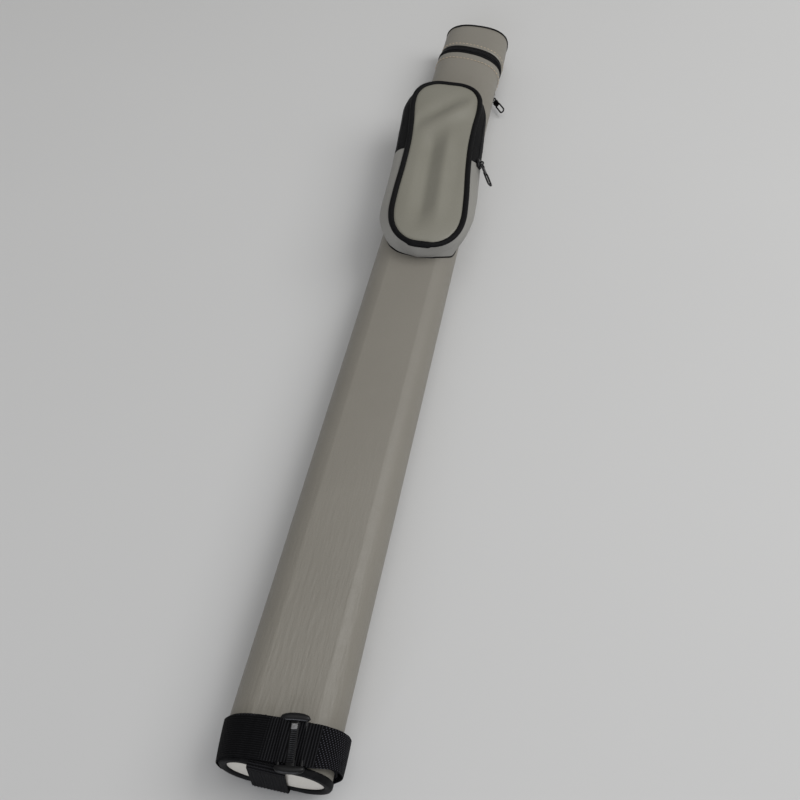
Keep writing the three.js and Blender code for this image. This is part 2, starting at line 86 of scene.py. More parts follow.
ZIP_MIDDLE = 794.0
ZIP_TILT = math.tan(math.radians(7))
ZIP_HALF_BAND = 7.6
ZIP_TILT_START = 690.0
ROUNDING_START, ROUNDING_END = 560, 720
COVER_THICK = 0.85
LID_TOP = 850.0
LID_SHIFT = 1.0
HINGE_HALF_WIDTH = 13.5
TAIL_ANGLE = math.radians(-45)
TAIL_BOTTOM = 757.0
TAIL_PITCH = 0.75
STRAP_THICK = 0.8
STRAP_ROUNDING = 0.4
LEG_THICK = 1.0
BAND_MIDDLE = 12.4
BAND_HALF_WIDTH = 12.6
BAND_END_X = 23.0
GLIDE_X = 9.8
GLIDE_Y = 12.1
GLIDE_TURN = math.radians(8)
PANEL_HALF_LENGTH = 123.5
PANEL_Z = 38.1
POCKET_CENTRE = Vector((-1.0, 570.0))
POCKET_TURN = math.radians(3.8)
POCKET_SPLIT = 6.0
ZIP_LEVEL = 0.70
OVAL_POWER = 2.6
OVAL_CROWN = 1.0
SQUARE = ((-1, -1), (1, -1), (1, 1), (-1, 1))


def place(point):
    return axis_point + Vector(point) * MM


def smoothstep(low, high, value):
    t = min(max((value - low) / (high - low), 0.0), 1.0)
    return t * t * (3 - 2 * t)


def bump(value, middle, width):
    return math.exp(-((value - middle) / width) ** 2)


def around(count):
    """Cosine and sine of evenly spaced angles round a circle."""
    angles = [2 * math.pi * step / count for step in range(count)]
    return [(math.cos(angle), math.sin(angle)) for angle in angles]


# ---- mesh making --------------------------------------------------------------------------------

def make_piece(name, points, faces, values=None, sharp=40):
    """A mesh piece from points in millimetres; values are (along, across) for each point."""
    mesh = bpy.data.meshes.new(name)
    mesh.from_pydata([place(point) for point in points], [], faces)
    mesh.polygons.foreach_set("use_smooth", [True] * len(mesh.polygons))
    mesh.set_sharp_from_angle(angle=math.radians(sharp))
    if values:
        for index, label in enumerate(("along", "across")):
            layer = mesh.attributes.new(label, "FLOAT", "POINT")
            layer.data.foreach_set("value", [value[index] for value in values])
    mesh.validate()
    mesh.update()
    piece = bpy.data.objects.new(name, mesh)
    bpy.context.collection.objects.link(piece)
    return piece


def loft_faces(row_count, row_length, closed_rows=True, closed_columns=False, caps=True, start=0):
    """Faces between rows of points; each row is a closed ring if closed_rows."""
    faces = []
    last_row = row_count if closed_columns else row_count - 1
    last_point = row_length if closed_rows else row_length - 1
    for i in range(last_row):
        a = start + i * row_length
        b = start + ((i + 1) % row_count) * row_length
        for j in range(last_point):
            k = (j + 1) % row_length
            faces.append((a + j, a + k, b + k, b + j))
    if caps and not closed_columns:
        faces.append(tuple(start + j for j in reversed(range(row_length))))
        faces.append(tuple(start + (row_count - 1) * row_length + j for j in range(row_length)))
    return faces


def loft(name, rows, closed_columns=False, caps=True, values=None, sharp=40):
    points = [point for row in rows for point in row]
    faces = loft_faces(len(rows), len(rows[0]), True, closed_columns, caps)
    piece = make_piece(name, points, faces, values, sharp)
    fix_normals(piece)
    return piece


def fix_normals(piece, weld=False):
    work = bmesh.new()
    work.from_mesh(piece.data)
    if weld:
        bmesh.ops.remove_doubles(work, verts=work.verts, dist=WELD_DISTANCE)
    bmesh.ops.recalc_face_normals(work, faces=work.faces)
    work.to_mesh(piece.data)
    work.free()


def sweep(name, path, profile, closed=False, sharp=40):
    """Runs a closed profile of (out, side) along a path of (point, out direction, side direction)."""
    rows = []
    values = []
    travelled = 0.0
    for index, (point, out, side) in enumerate(path):
        if index:
            travelled += (Vector(point) - Vector(path[index - 1][0])).length
        rows.append([Vector(point) + Vector(out) * a + Vector(side) * b for a, b in profile])
        values += [(travelled, b) for a, b in profile]
    return loft(name, rows, closed, not closed, values, sharp)


def sheet_profile(thick, half, columns):
    """A flat strip's closed section as (out, side) points with softened edges."""
    upper = []
    for index in range(columns + 1):
        upper.append((thick, -half + STRAP_ROUNDING + (half + half - 2 * STRAP_ROUNDING) * index / columns))
    lower = [(0.0, side) for _, side in reversed(upper)]
    return [(thick / 2, -half)] + upper + [(thick / 2, half)] + lower


def join_parts(name, parts, sharp=40):
    """One piece from several (points, faces, values) lists."""
    points, faces, values = [], [], []
    for part_points, part_faces, part_values in parts:
        base = len(points)
        points += part_points
        faces += [tuple(base + index for index in face) for face in part_faces]
        values += part_values or [(0.0, 0.0)] * len(part_points)
    piece = make_piece(name, points, faces, values, sharp)
    fix_normals(piece)
    return piece


def tube_part(points, radius, sides=8, ends=1.0):
    """A round tube along points, its ends drawn in to `ends` of the radius."""
    rows = []
    count = len(points)
    reference = Vector((0.13, 0.21, 0.97))
    for index, point in enumerate(points):
        before = Vector(points[max(index - 1, 0)])
        after = Vector(points[min(index + 1, count - 1)])
        ahead = (after - before).normalized()
        first = ahead.cross(reference).normalized()
        second = ahead.cross(first)
        size = radius * (ends if index in (0, count - 1) else 1.0)
        rows += [Vector(point) + size * (cos * first + sin * second) for cos, sin in around(sides)]
    faces = loft_faces(count, sides)
    return rows, faces, [(0.0, 0.0)] * len(rows)


def block_part(centre, axes, sizes, inset=0.25):
    """A small block with chamfered top, its axes given as unit vectors and half sizes."""
    x, y, z = (Vector(axis) * size for axis, size in zip(axes, sizes))
    centre = Vector(centre)
    points = []
    for reach, level in ((1, -1), (1, 0.4), (1 - inset, 1)):
        points += [centre + sx * x * reach + sy * y * reach + z * level for sx, sy in SQUARE]
    return points, loft_faces(3, 4), None


def rows_part(rows):
    """A part made of a stack of closed rows of points."""
    return [point for row in rows for point in row], loft_faces(len(rows), len(rows[0])), None


def walk(path, first, gaps):
    """Points, outward and side directions along a path, the first at a distance and then at gaps in turn."""
    distance, target, count = 0.0, first, 0
    for before, after in zip(path, path[1:]):
        start, end = Vector(before[0]), Vector(after[0])
        length = (end - start).length
        while length > 0 and target <= distance + length:
            k = (target - distance) / length
            out = Vector(before[1]).lerp(Vector(after[1]), k).normalized()
            yield start.lerp(end, k), out, Vector(after[2])
            target += gaps[count % len(gaps)]
            count += 1
        distance += length


# ---- the oval section ---------------------------------------------------------------------------
CORNER_TURN = math.radians(16)
CORNER_RADIUS = 7.0
SIDE_RADIUS = (half_height - CORNER_RADIUS * (1 - math.cos(CORNER_TURN))) / math.cos(CORNER_TURN)
SIDE_CENTRE = half_width - SIDE_RADIUS
FLAT_END = SIDE_CENTRE + (SIDE_RADIUS - CORNER_RADIUS) * math.sin(CORNER_TURN)


def section_ring(offset=0.0, flat_steps=10, corner_steps=4, side_steps=16, roundness=0.0):
    """Points (x, z, out x, out z) round the section, anticlockwise seen from the base.

    roundness 0 has creases beside the flat front; 1 is the smooth oval that the lid has.
    """
    quarter = math.pi / 2
    low, high = -quarter + CORNER_TURN, quarter - CORNER_TURN
    arcs = [
        (FLAT_END, CORNER_RADIUS - half_height, CORNER_RADIUS, -quarter, low, corner_steps),
        (SIDE_CENTRE, 0.0, SIDE_RADIUS, low, high, side_steps),
        (FLAT_END, half_height - CORNER_RADIUS, CORNER_RADIUS, high, quarter, corner_steps),
    ]
    half = []
    for centre_x, centre_z, radius, start, end, steps in arcs:
        for index in range(steps):
            angle = start + (end - start) * index / steps
            out = Vector((math.cos(angle), math.sin(angle)))
            half.append((centre_x + radius * out.x, centre_z + radius * out.y, out.x, out.y))
    for index in range(flat_steps):
        half.append((FLAT_END - 2 * FLAT_END * index / flat_steps, half_height, 0.0, 1.0))
    ring = []
    for x, z, nx, nz in half + [(-x, -z, -nx, -nz) for x, z, nx, nz in half]:
        across = min(abs(x) / half_width, 1.0)
        if roundness > 0 and z > 0:
            oval = half_height * (1 - across ** OVAL_POWER) ** (1 / OVAL_POWER)
            oval += OVAL_CROWN * (1 - across ** 2)
            z += (oval - z) * roundness
            slope_x = math.copysign(across ** (OVAL_POWER - 1) / half_width, x)
            slope_z = (max(z, 0.0) / (half_height + OVAL_CROWN)) ** (OVAL_POWER - 1) / half_height
            out = Vector((slope_x, slope_z)).normalized()
            mixed = Vector((nx, nz)).lerp(out, roundness).normalized()
            nx, nz = mixed
        ring.append((x + offset * nx, z + offset * nz, nx, nz))
    return ring


def surface_height(x):
    """Height of the tube's front above its axis at x."""
    x = min(abs(x), half_width - 0.3)
    if x <= FLAT_END:
        return half_height
    end_x = FLAT_END + CORNER_RADIUS * math.sin(CORNER_TURN)
    if x <= end_x:
        return half_height - CORNER_RADIUS + math.sqrt(CORNER_RADIUS ** 2 - (x - FLAT_END) ** 2)
    return math.sqrt(SIDE_RADIUS ** 2 - (x - SIDE_CENTRE) ** 2)


# ---- materials ----------------------------------------------------------------------------------

class Look:
    """A node material being put together."""

    def __init__(self, name, roughness, metallic=0.0, specular=0.5):
        self.material = bpy.data.materials.new(name)
        self.material.use_nodes = True
        self.nodes = self.material.node_tree.nodes
        self.links = self.material.node_tree.links
        self.shader = self.nodes["Principled BSDF"]
        self.shader.inputs["Roughness"].default_value = roughness
        self.shader.inputs["Metallic"].default_value = metallic
        self.shader.inputs["Specular IOR Level"].default_value = specular
        self.place = self.node("ShaderNodeTexCoord").outputs["Object"]

    def node(self, kind, **settings):
        made = self.nodes.new(kind)
        for key, value in settings.items():
            if hasattr(made, key):
                setattr(made, key, value)
            else:
                made.inputs[key].default_value = value
        return made

    def link(self, source, target):
        self.links.new(source, target)
        return target.node

    def scaled(self, scale):
        mapping = self.node("ShaderNodeMapping")
        mapping.inputs["Scale"].default_value = scale
        self.link(self.place, mapping.inputs["Vector"])
        return mapping.outputs["Vector"]

    def noise(self, scale, detail=3.0, roughness=0.5, stretch=None):
        made = self.node("ShaderNodeTexNoise")
        made.inputs["Scale"].default_value = scale
        made.inputs["Detail"].default_value = detail
        made.inputs["Roughness"].default_value = roughness
        self.link(self.scaled(stretch) if stretch else self.place, made.inputs["Vector"])
        return made.outputs["Fac"]

    def cells(self, scale, feature="F1"):
        made = self.node("ShaderNodeTexVoronoi", feature=feature)
        made.inputs["Scale"].default_value = scale
        self.link(self.place, made.inputs["Vector"])
        return made.outputs["Distance"]

    def math(self, operation, first, second=None, third=None):
        made = self.node("ShaderNodeMath", operation=operation)
        for index, value in enumerate((first, second, third)):
            if value is None:
                continue
            if isinstance(value, (int, float)):
                made.inputs[index].default_value = value
            else:
                self.link(value, made.inputs[index])
        return made.outputs[0]

    def spread(self, source, low, high, to_low=0.0, to_high=1.0):
        made = self.node("ShaderNodeMapRange")
        for label, value in (("From Min", low), ("From Max", high), ("To Min", to_low), ("To Max", to_high)):
            made.inputs[label].default_value = value
        self.link(source, made.inputs["Value"])
        return made.outputs["Result"]

    def attribute(self, name):
        return self.node("ShaderNodeAttribute", attribute_name=name).outputs["Fac"]

    def colour(self, factor, dark, light):
        ramp = self.node("ShaderNodeMix", data_type="RGBA")
        ramp.inputs[6].default_value = (*dark, 1)
        ramp.inputs[7].default_value = (*light, 1)
        self.link(factor, ramp.inputs[0])
        self.link(ramp.outputs[2], self.shader.inputs["Base Color"])
        return ramp.outputs[2]

    def rough(self, factor, low, high):
        self.link(self.spread(factor, 0.3, 0.7, low, high), self.shader.inputs["Roughness"])

    def bumps(self, *layers):
        """Each layer is (height, strength, distance in metres)."""
        normal = None
        for height, strength, distance in layers:
            made = self.node("ShaderNodeBump")
            made.inputs["Strength"].default_value = strength
            made.inputs["Distance"].default_value = distance
            self.link(height, made.inputs["Height"])
            if normal:
                self.link(normal, made.inputs["Normal"])
            normal = made.outputs["Normal"]
        self.link(normal, self.shader.inputs["Normal"])
        return self.material


def leather_look(name, dark, light, wrinkles):
    """Smooth coated leatherette: fine pebbled grain, and lengthwise wrinkles that fade away from the base."""
    look = Look(name, 0.46, specular=0.45)
    clouds = look.noise(14, 3, 0.5)
    fine = look.noise(900, 2, 0.5)
    shade = look.math("ADD", look.math("MULTIPLY", clouds, 0.55), look.math("MULTIPLY", fine, 0.45))
    look.colour(look.spread(shade, 0.3, 0.7), dark, light)
    look.rough(look.noise(140, 3), 0.42, 0.5)
    grain = look.math("SUBTRACT", 1.0, look.cells(1150))
    folds = look.noise(1.0, 3, 0.5, (430, 55, 300))
    split = look.node("ShaderNodeSeparateXYZ")
    look.link(look.place, split.inputs[0])
    fade = look.spread(split.outputs["Y"], axis_point.y + 0.03, axis_point.y + 0.27, 1.0, 0.12)
    folds = look.math("MULTIPLY", folds, fade)
    return look.bumps((grain, 0.16, 0.0003), (folds, wrinkles, 0.0014), (look.noise(75, 3), 0.1, 0.002))


def webbing_look(name, rib, twill, lengthwise_left_of=None):
    """Black woven webbing: cross ribs of the given pitch in millimetres, or a dotted twill.

    Left of a given x the ribs run lengthwise instead.
    """
    look = Look(name, 0.8, specular=0.08)
    along = look.attribute("along")
    across = look.attribute("across")
    turn = 2 * math.pi
    ribs = look.math("SINE", look.math("MULTIPLY", along, turn / rib))
    threads = look.math("SINE", look.math("MULTIPLY", across, turn / 0.9))
    if twill:
        slant = look.math("ADD", along, look.math("MULTIPLY", across, 0.55))
        ribs = look.math("SINE", look.math("MULTIPLY", slant, turn / 2.1))
        threads = look.math("SINE", look.math("MULTIPLY", look.math("SUBTRACT", along, across), turn / 1.9))
        weave = look.math("MULTIPLY", look.math("ADD", ribs, 1.0), look.math("ADD", threads, 1.0))
        height = look.math("MULTIPLY", weave, 0.25)
    else:
        height = look.math("ADD", look.math("MULTIPLY", ribs, 0.38), look.math("MULTIPLY", threads, 0.14))
        height = look.math("ADD", height, 0.5)
    if lengthwise_left_of is not None:
        lines = look.math("SINE", look.math("MULTIPLY", across, turn / 1.3))
        lines = look.math("ADD", look.math("MULTIPLY", lines, 0.24), 0.33)
        split = look.node("ShaderNodeSeparateXYZ")
        look.link(look.place, split.inputs[0])
        right = look.spread(split.outputs["X"], lengthwise_left_of - 0.003, lengthwise_left_of + 0.003)
        left = look.math("SUBTRACT", 1.0, right)
        height = look.math("ADD", look.math("MULTIPLY", height, right), look.math("MULTIPLY", lines, left))
    fuzz = look.noise(1800, 2)
    tone = look.math("ADD", look.math("MULTIPLY", height, 0.75), look.math("MULTIPLY", fuzz, 0.3))
    # The ribbed webbing's crests are coloured lighter than its hollows. This is partly the weave's own tone
    # and partly painted highlight where the ribs catch light. The twill's lighter dots are its weave.
    crest_and_highlight_colour = (0.1, 0.1, 0.12) if twill else (0.026, 0.026, 0.029)
    look.colour(look.spread(tone, 0.45, 1.0), (0.0022, 0.0022, 0.0026), crest_and_highlight_colour)
    return look.bumps((height, 0.9, 0.0006), (fuzz, 0.25, 0.0002))


def tape_look(name, pitch=0.8):
    """Fine woven zip tape or edge binding."""
    look = Look(name, 0.6, specular=0.1)
    along = look.math("SINE", look.math("MULTIPLY", look.attribute("along"), 2 * math.pi / pitch))
    across = look.math("SINE", look.math("MULTIPLY", look.attribute("across"), 2 * math.pi / 0.7))
    height = look.math("ADD", look.math("MULTIPLY", along, 0.3), look.math("MULTIPLY", across, 0.2))
    cloud = look.noise(420, 3)
    look.colour(look.spread(cloud, 0.3, 0.7), (0.0025, 0.0025, 0.003), (0.006, 0.006, 0.0066))
    return look.bumps((height, 0.35, 0.00025), (cloud, 0.2, 0.0006))


def hard_look(name, dark, light, roughness, metallic=0.0, scuffs=600, coat=0.0, specular=0.5):
    """Moulded plastic, lacquered metal or board with faint mottling and scuffs."""
    look = Look(name, roughness, metallic, specular)
    cloud = look.noise(scuffs, 4, 0.6)
    look.colour(look.spread(cloud, 0.35, 0.65), dark, light)
    look.rough(look.noise(scuffs * 0.4, 3), max(roughness - 0.08, 0.05), roughness + 0.1)
    look.shader.inputs["Coat Weight"].default_value = coat
    return look.bumps((cloud, 0.08, 0.0003))


def thread_look(name, dark, light):
    look = Look(name, 0.7)
    twist = look.noise(2600, 2)
    look.colour(look.spread(twist, 0.3, 0.7), dark, light)
    return look.bumps((twist, 0.5, 0.0002))


LEATHER = leather_look("grey_leatherette", (0.212, 0.198, 0.169), (0.236, 0.221, 0.19), 0.42)
PANEL_LEATHER = leather_look("pocket_leatherette", (0.206, 0.198, 0.162), (0.232, 0.224, 0.186), 0.1)
GUSSET_LEATHER = leather_look("gusset_leatherette", (0.243, 0.237, 0.218), (0.268, 0.262, 0.243), 0.1)
LEATHER_LIGHT = leather_look("base_leatherette", (0.50, 0.475, 0.43), (0.55, 0.525, 0.475), 0.05)
RIBBED = webbing_look("ribbed_webbing", 1.35, False)
TWILL = webbing_look("twill_webbing", 1.35, True)
BAND_WEAVE = webbing_look("band_webbing", 1.7, False, axis_point.x - 0.007)
TAPE = tape_look("zip_tape_weave")
BINDING = tape_look("edge_binding_weave", 1.1)
TEETH = hard_look("black_nylon_teeth", (0.004, 0.004, 0.005), (0.010, 0.010, 0.012), 0.34, specular=0.25)
PLASTIC = hard_look("black_moulded_plastic", (0.003, 0.003, 0.0035), (0.006, 0.006, 0.0065), 0.34,
                    scuffs=500, specular=0.25)
METAL = hard_look("black_lacquered_metal", (0.006, 0.006, 0.007), (0.02, 0.02, 0.022), 0.34, 0.7, 700, 0.1)
PALE_THREAD = thread_look("pale_thread", (0.48, 0.37, 0.25), (0.66, 0.54, 0.4))
# Light grey for the painted glint on the tri-glide's upper end.
GLINT_GREY = hard_look("painted_glint_grey", (0.10, 0.10, 0.10), (0.2, 0.2, 0.2), 0.2, 0.0, 900)
GREY_THREAD = thread_look("grey_thread", (0.15, 0.145, 0.13), (0.24, 0.23, 0.21))
BOARD = hard_look("pressed_board", (0.17, 0.12, 0.075), (0.25, 0.19, 0.12), 0.8, 0.0, 350)
SHELL = hard_look("stiff_tube", (0.03, 0.03, 0.033), (0.05, 0.05, 0.055), 0.6, 0.0, 300)
SLEEVE = hard_look("sleeve_plastic", (0.012, 0.012, 0.014), (0.025, 0.025, 0.028), 0.5, 0.0, 400)


def foam_look():
    look = Look("flocked_foam", 0.95, specular=0.15)
    pile = look.noise(2200, 3)
    look.colour(look.spread(pile, 0.3, 0.7), (0.012, 0.012, 0.014), (0.035, 0.035, 0.04))
    look.shader.inputs["Sheen Weight"].default_value = 0.3
    return look.bumps((pile, 0.6, 0.0004), (look.cells(500), 0.2, 0.0005))


FOAM = foam_look()


def finish_piece(piece, look, slot, body=None, nodes=()):
    piece.data.materials.clear()
    piece.data.materials.append(look)
    if body:
        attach(piece, body)
    if nodes:
        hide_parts(*nodes)
    return piece


# ---- body cover ---------------------------------------------------------------------------------

def drop_with_zip(x, y):
    """The cover's rows tilt gradually to end parallel with the tilted zip."""
    return y - ZIP_TILT * x * smoothstep(ZIP_TILT_START, ZIP_MIDDLE - ZIP_HALF_BAND, y)


def cover_softness(x, y, z):
    """Slight unevenness of soft leatherette over a stiff tube."""
    return 0.22 * noise.noise(Vector((x * 0.03, y * 0.012, z * 0.03)))


def body_cover():
    end = ZIP_MIDDLE - ZIP_HALF_BAND
    heights = [0.0, 2, 6, 12, 20, 28] + [28 + 28.0 * step for step in range(1, 26)]
    heights += [745, 758, 768, 774, 778, 781.5, 784, 785.6, 786.6, end]
    rows = []
    for y in heights:
        lip = 0.9 * smoothstep(768, 784, y) - 0.9 * smoothstep(785.4, end, y)
        row = []
        for x, z, nx, nz in section_ring(roundness=smoothstep(ROUNDING_START, ROUNDING_END, y)):
            out = lip * (0.5 + 0.9 * max(nx, 0)) + cover_softness(x, y, z) * smoothstep(0, 60, y)
            out += 0.4 * max(nz, 0) * (1 - (x / FLAT_END) ** 2 if abs(x) < FLAT_END else 0)
            row.append((x + nx * out, drop_with_zip(x, y), z + nz * out))
        rows.append(row)
    for y in (end - 0.3, end - 3, 700.0, 300.0, 0.0):
        ring = section_ring(-COVER_THICK, roundness=smoothstep(ROUNDING_START, ROUNDING_END, y))
        rows.append([(x, drop_with_zip(x, y), z) for x, z, *_ in ring])
    piece = loft("body_cover", rows, closed_columns=True)
    return finish_piece(piece, LEATHER, "leatherette", "case", ["outer_cover"])


def lid_out(nx, y):
    """The soft lid stands out a little on its right side."""
    return 1.3 * max(nx, 0) * smoothstep(ZIP_MIDDLE, ZIP_MIDDLE + 16, y) * (1 - 0.3 * smoothstep(810, 850, y))


def lid_cover():
    ring = section_ring(roundness=1.0)
    start = ZIP_MIDDLE + ZIP_HALF_BAND
    heights = [start, start + 0.5, start + 1.4, start + 3, start + 5, 812, 820, 830, 838, 843, 846, 848, 849]
    rows = []
    for y in heights:
        edge = -0.8 * (1 - smoothstep(start, start + 1.8, y)) + 0.35 * bump(y, start + 3, 3)
        tilt = ZIP_TILT * (1 - smoothstep(start, 843, y))
        row = []
        for x, z, nx, nz in ring:
            out = edge + lid_out(nx, y) + cover_softness(x, y + 90, z) - 0.5 * smoothstep(844, 849.5, y)
            row.append((x + LID_SHIFT + nx * out, y - tilt * x, z + nz * out))
        rows.append(row)
    for y in (848.5, 830, start + 4, start + 0.3):
        tilt = ZIP_TILT * (1 - smoothstep(start, 843, y))
        rows.append([(x + LID_SHIFT - nx * COVER_THICK, y - tilt * x, z - nz * COVER_THICK)
                     for x, z, nx, nz in ring])
    piece = loft("lid_cover_skin", rows, closed_columns=True)
    return finish_piece(piece, LEATHER, "leatherette", "lid", ["lid_cover"])


def end_panel(name, y_edge, dome, edge, shift, look, body, node):
    """A domed oval end: rings that shrink to the middle, with a flat back."""
    ring = section_ring(roundness=1.0 if body == "lid" else 0.0)
    rows = []
    for index in range(9):
        k = 1 - index / 9
        size = k * (1 - edge / half_height)
        rise = dome * (1 - k ** 2.2)
        row = []
        for x, z, *_ in ring:
            ripple = 0.25 * noise.noise(Vector((x * 0.05, y_edge, z * 0.07))) * (1 - k)
            across = x * k * (half_width - edge) / half_width
            across = base_x(across) if body == "case" else across
            row.append((across + shift, y_edge + rise + ripple, z * size))
        rows.append(row)
    back = y_edge - math.copysign(0.8, dome)
    rows.insert(0, [(x, back, z) for x, _, z in rows[0]])
    return finish_piece(loft(name, rows), look, "leatherette", body, [node])


def base_x(x):
    """The lower end is pulled in at its left by the tight strap."""
    return x * (0.92 if x < 0 else 1.0)


def base_path():
    """Path round the lower end, with outward and along-the-case directions."""
    return [((base_x(x), 0.0, z), (nx, 0, nz), (0, 1, 0)) for x, z, nx, nz in section_ring()]


def base_binding():
    profile = [(-4.2, -2.2), (-3.4, -3.1), (-1.6, -3.6), (0.2, -3.2), (1.0, -2.0), (1.1, -0.4), (1.0, 0.7),
               (0.7, 1.2), (0.25, 1.1), (0.2, 0.2), (-1.2, -0.7), (-3.4, -1.2)]
    piece = sweep("base_rim_binding", base_path(), profile, closed=True)
    return finish_piece(piece, BINDING, "binding", "case", ["base_binding"])


def lid_binding():
    profile = [(-2.1, 0.2), (-1.5, 1.0), (-0.5, 1.25), (0.35, 0.8), (0.6, -0.1), (0.5, -1.3), (0.0, -1.5),
               (-0.3, -0.4), (-1.4, -0.2)]
    path = []
    for x, z, nx, nz in section_ring(roundness=1.0):
        out = lid_out(nx, 850)
        path.append(((x + LID_SHIFT + nx * out, LID_TOP - 0.4, z + nz * out), (nx, 0, nz), (0, 1, 0)))
    piece = sweep("lid_rim_binding", path, profile, closed=True)
    return finish_piece(piece, BINDING, "binding", "lid", ["lid_binding"])


# ---- lid zip ------------------------------------------------------------------------------------

BACK_SINK = 1.0


def zip_path(offset, shift=0.0, spread_lid=0.0):
    """Open path round the zip, from the hinge's left edge over the front to its right edge."""
    ring = section_ring(offset, flat_steps=16, roundness=1.0)
    count = len(ring)
    start = next(i for i, (x, z, *_) in enumerate(ring)
                 if z < 0 and x > -HINGE_HALF_WIDTH - 1 and i > count // 2)
    order = []
    for step in range(count):
        point = ring[(start - 1 - step) % count]
        if point[1] < 0 and abs(point[0]) < HINGE_HALF_WIDTH + 0.8 and point[3] < -0.99:
            if order:
                break
            continue
        order.append(point)
    path = []
    for x, z, nx, nz in order:
        out = lid_out(nx, ZIP_MIDDLE + spread_lid) - BACK_SINK * smoothstep(0.8, 1.0, -nz)
        at = (x + shift + nx * out, ZIP_MIDDLE - ZIP_TILT * x, z + nz * out)
        path.append((at, (nx, 0, nz), (0, 1, 0)))
    return path


def strip_with_cord(low, high, cord_side):
    """Zip tape section whose edge by the teeth is raised over the coil."""
    steps = 14
    upper = []
    for index in range(steps + 1):
        side = low + (high - low) * index / steps
        rise = 0.3 * bump(side, cord_side, 1.0) + 0.12 * bump(side, (low + high) / 2, 1.0)
        upper.append((0.55 + rise, side))
    lower = [(-0.15, side) for _, side in reversed(upper)]
    return upper + lower


def teeth_along(name, path, side_low, side_high, pitch, out_level, size=0.42):
    """Small coil teeth laid across the tape's edge along a path."""
    parts = []
    for point, out, side in walk(path, pitch / 2, (pitch,)):
        middle = point + out * out_level + side * (side_low + side_high) / 2
        half_sizes = (pitch * 0.3, (side_high - side_low) / 2, size)
        parts.append(block_part(middle, (side.cross(out), side, out), half_sizes))
    return join_parts(name, parts, sharp=30)


def lid_zip():
    band = ZIP_HALF_BAND + 0.6
    base = -0.65
    body_path = zip_path(base)
    lid_path = zip_path(base, LID_SHIFT * 0.6, 5.0)
    tape = sweep("body_zip_tape_weave", body_path, strip_with_cord(-band, -0.35, -1.3))
    finish_piece(tape, TAPE, "zip_tape", "case", ["body_zip_tape"])
    tape = sweep("lid_zip_tape_weave", lid_path, strip_with_cord(0.35, band, 1.3))
    finish_piece(tape, TAPE, "zip_tape", "lid", ["lid_zip_tape"])
    teeth = teeth_along("body_zip_coil", body_path, -2.0, -0.15, 1.4, 1.0)
    finish_piece(teeth, TEETH, "zip_teeth", "case", ["body_zip_teeth"])
    teeth = teeth_along("lid_zip_coil", lid_path, 0.15, 2.0, 1.4, 1.0)
    finish_piece(teeth, TEETH, "zip_teeth", "lid", ["lid_zip_teeth"])


def tail_path(top, bottom, steps=24):
    """Path down the right side where the zip's tail is sewn on."""
    out = Vector((math.cos(TAIL_ANGLE), 0, math.sin(TAIL_ANGLE)))
    side = Vector((-math.sin(TAIL_ANGLE), 0, math.cos(TAIL_ANGLE)))
    x = SIDE_CENTRE + SIDE_RADIUS * out.x
    z = SIDE_RADIUS * out.z
    return [((x, top + (bottom - top) * index / steps, z), out, side) for index in range(steps + 1)]


def zip_tail():
    half = 5.3
    top = ZIP_MIDDLE - ZIP_TILT * 36 - 1.0
    upper = []
    for index in range(17):
        side = -half + 2 * half * index / 16
        curve = -(side ** 2) / (2 * SIDE_RADIUS)
        upper.append((0.5 + 0.7 * bump(side, 0, 1.6) + curve, side))
    lower = [(out - 0.75 - 0.6 * bump(side, 0, 1.6), side) for out, side in reversed(upper)]
    tape = sweep("zip_tail_tape", tail_path(top, TAIL_BOTTOM + 0.3), upper + lower)
    finish_piece(tape, TAPE, "zip_tape", "case", ["body_zip_tape"])
    teeth = []
    (x, _, z), out, side = tail_path(top, TAIL_BOTTOM + 4)[0]
    count = int((top - TAIL_BOTTOM - 4) / TAIL_PITCH)
    for index in range(count):
        centre = Vector((x, top - TAIL_PITCH * index, z)) + out * 1.1
        centre += side * (0.55 if index % 2 else -0.55)
        teeth.append(block_part(centre, ((0, 1, 0), side, out), (0.32, 1.05, 0.4)))
    finish_piece(join_parts("zip_tail_coil", teeth, 30), TEETH, "zip_teeth", "case", ["tail_zip_teeth"])
    stop_at = Vector((x, TAIL_BOTTOM + 2.2, z)) + out * 1.0
    stop = [block_part(stop_at + side * s, ((0, 1, 0), side, out), (1.2, 0.5, 0.9)) for s in (-1.7, 1.7)]
    stop.append(block_part(stop_at + out * 0.5, ((0, 1, 0), side, out), (1.2, 2.1, 0.45)))
    finish_piece(join_parts("zip_bottom_clip", stop), METAL, "black_metal", "case", ["zip_bottom_stop"])


def lid_hinge_strip():
    """The leatherette strip across the back that the lid bends on."""
    profile = []
    steps = 20
    for index in range(steps + 1):
        x = -HINGE_HALF_WIDTH + 2 * HINGE_HALF_WIDTH * index / steps
        edge = smoothstep(0, 1.2, HINGE_HALF_WIDTH - abs(x))
        profile.append((x, -half_height - 0.02 + 0.25 * (1 - edge)))
    rows = []
    spread = ZIP_HALF_BAND + 2.5
    for index in range(29):
        y = -spread + 2 * spread * index / 28
        soft = 0.16 * math.sin(y * 1.7) * bump(y, 0, 4)
        upper = [(x, ZIP_MIDDLE + y - ZIP_TILT * x, z + soft) for x, z in profile]
        lower = [(x, ZIP_MIDDLE + y - ZIP_TILT * x, z + COVER_THICK) for x, z in reversed(profile)]
        rows.append(upper + lower)
    piece = loft("lid_hinge_strip", rows)
    finish_piece(piece, LEATHER, "leatherette", None, ["hinge_lower_half", "hinge_upper_half"])
    direction = Vector((math.sin(math.atan(ZIP_TILT)), math.cos(math.atan(ZIP_TILT)), 0)) * 3.2
    middle = Vector((0, ZIP_MIDDLE, -half_height))
    place(middle - direction)
    place(middle + direction)
    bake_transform(piece)


# ---- stitching ----------------------------------------------------------------------------------

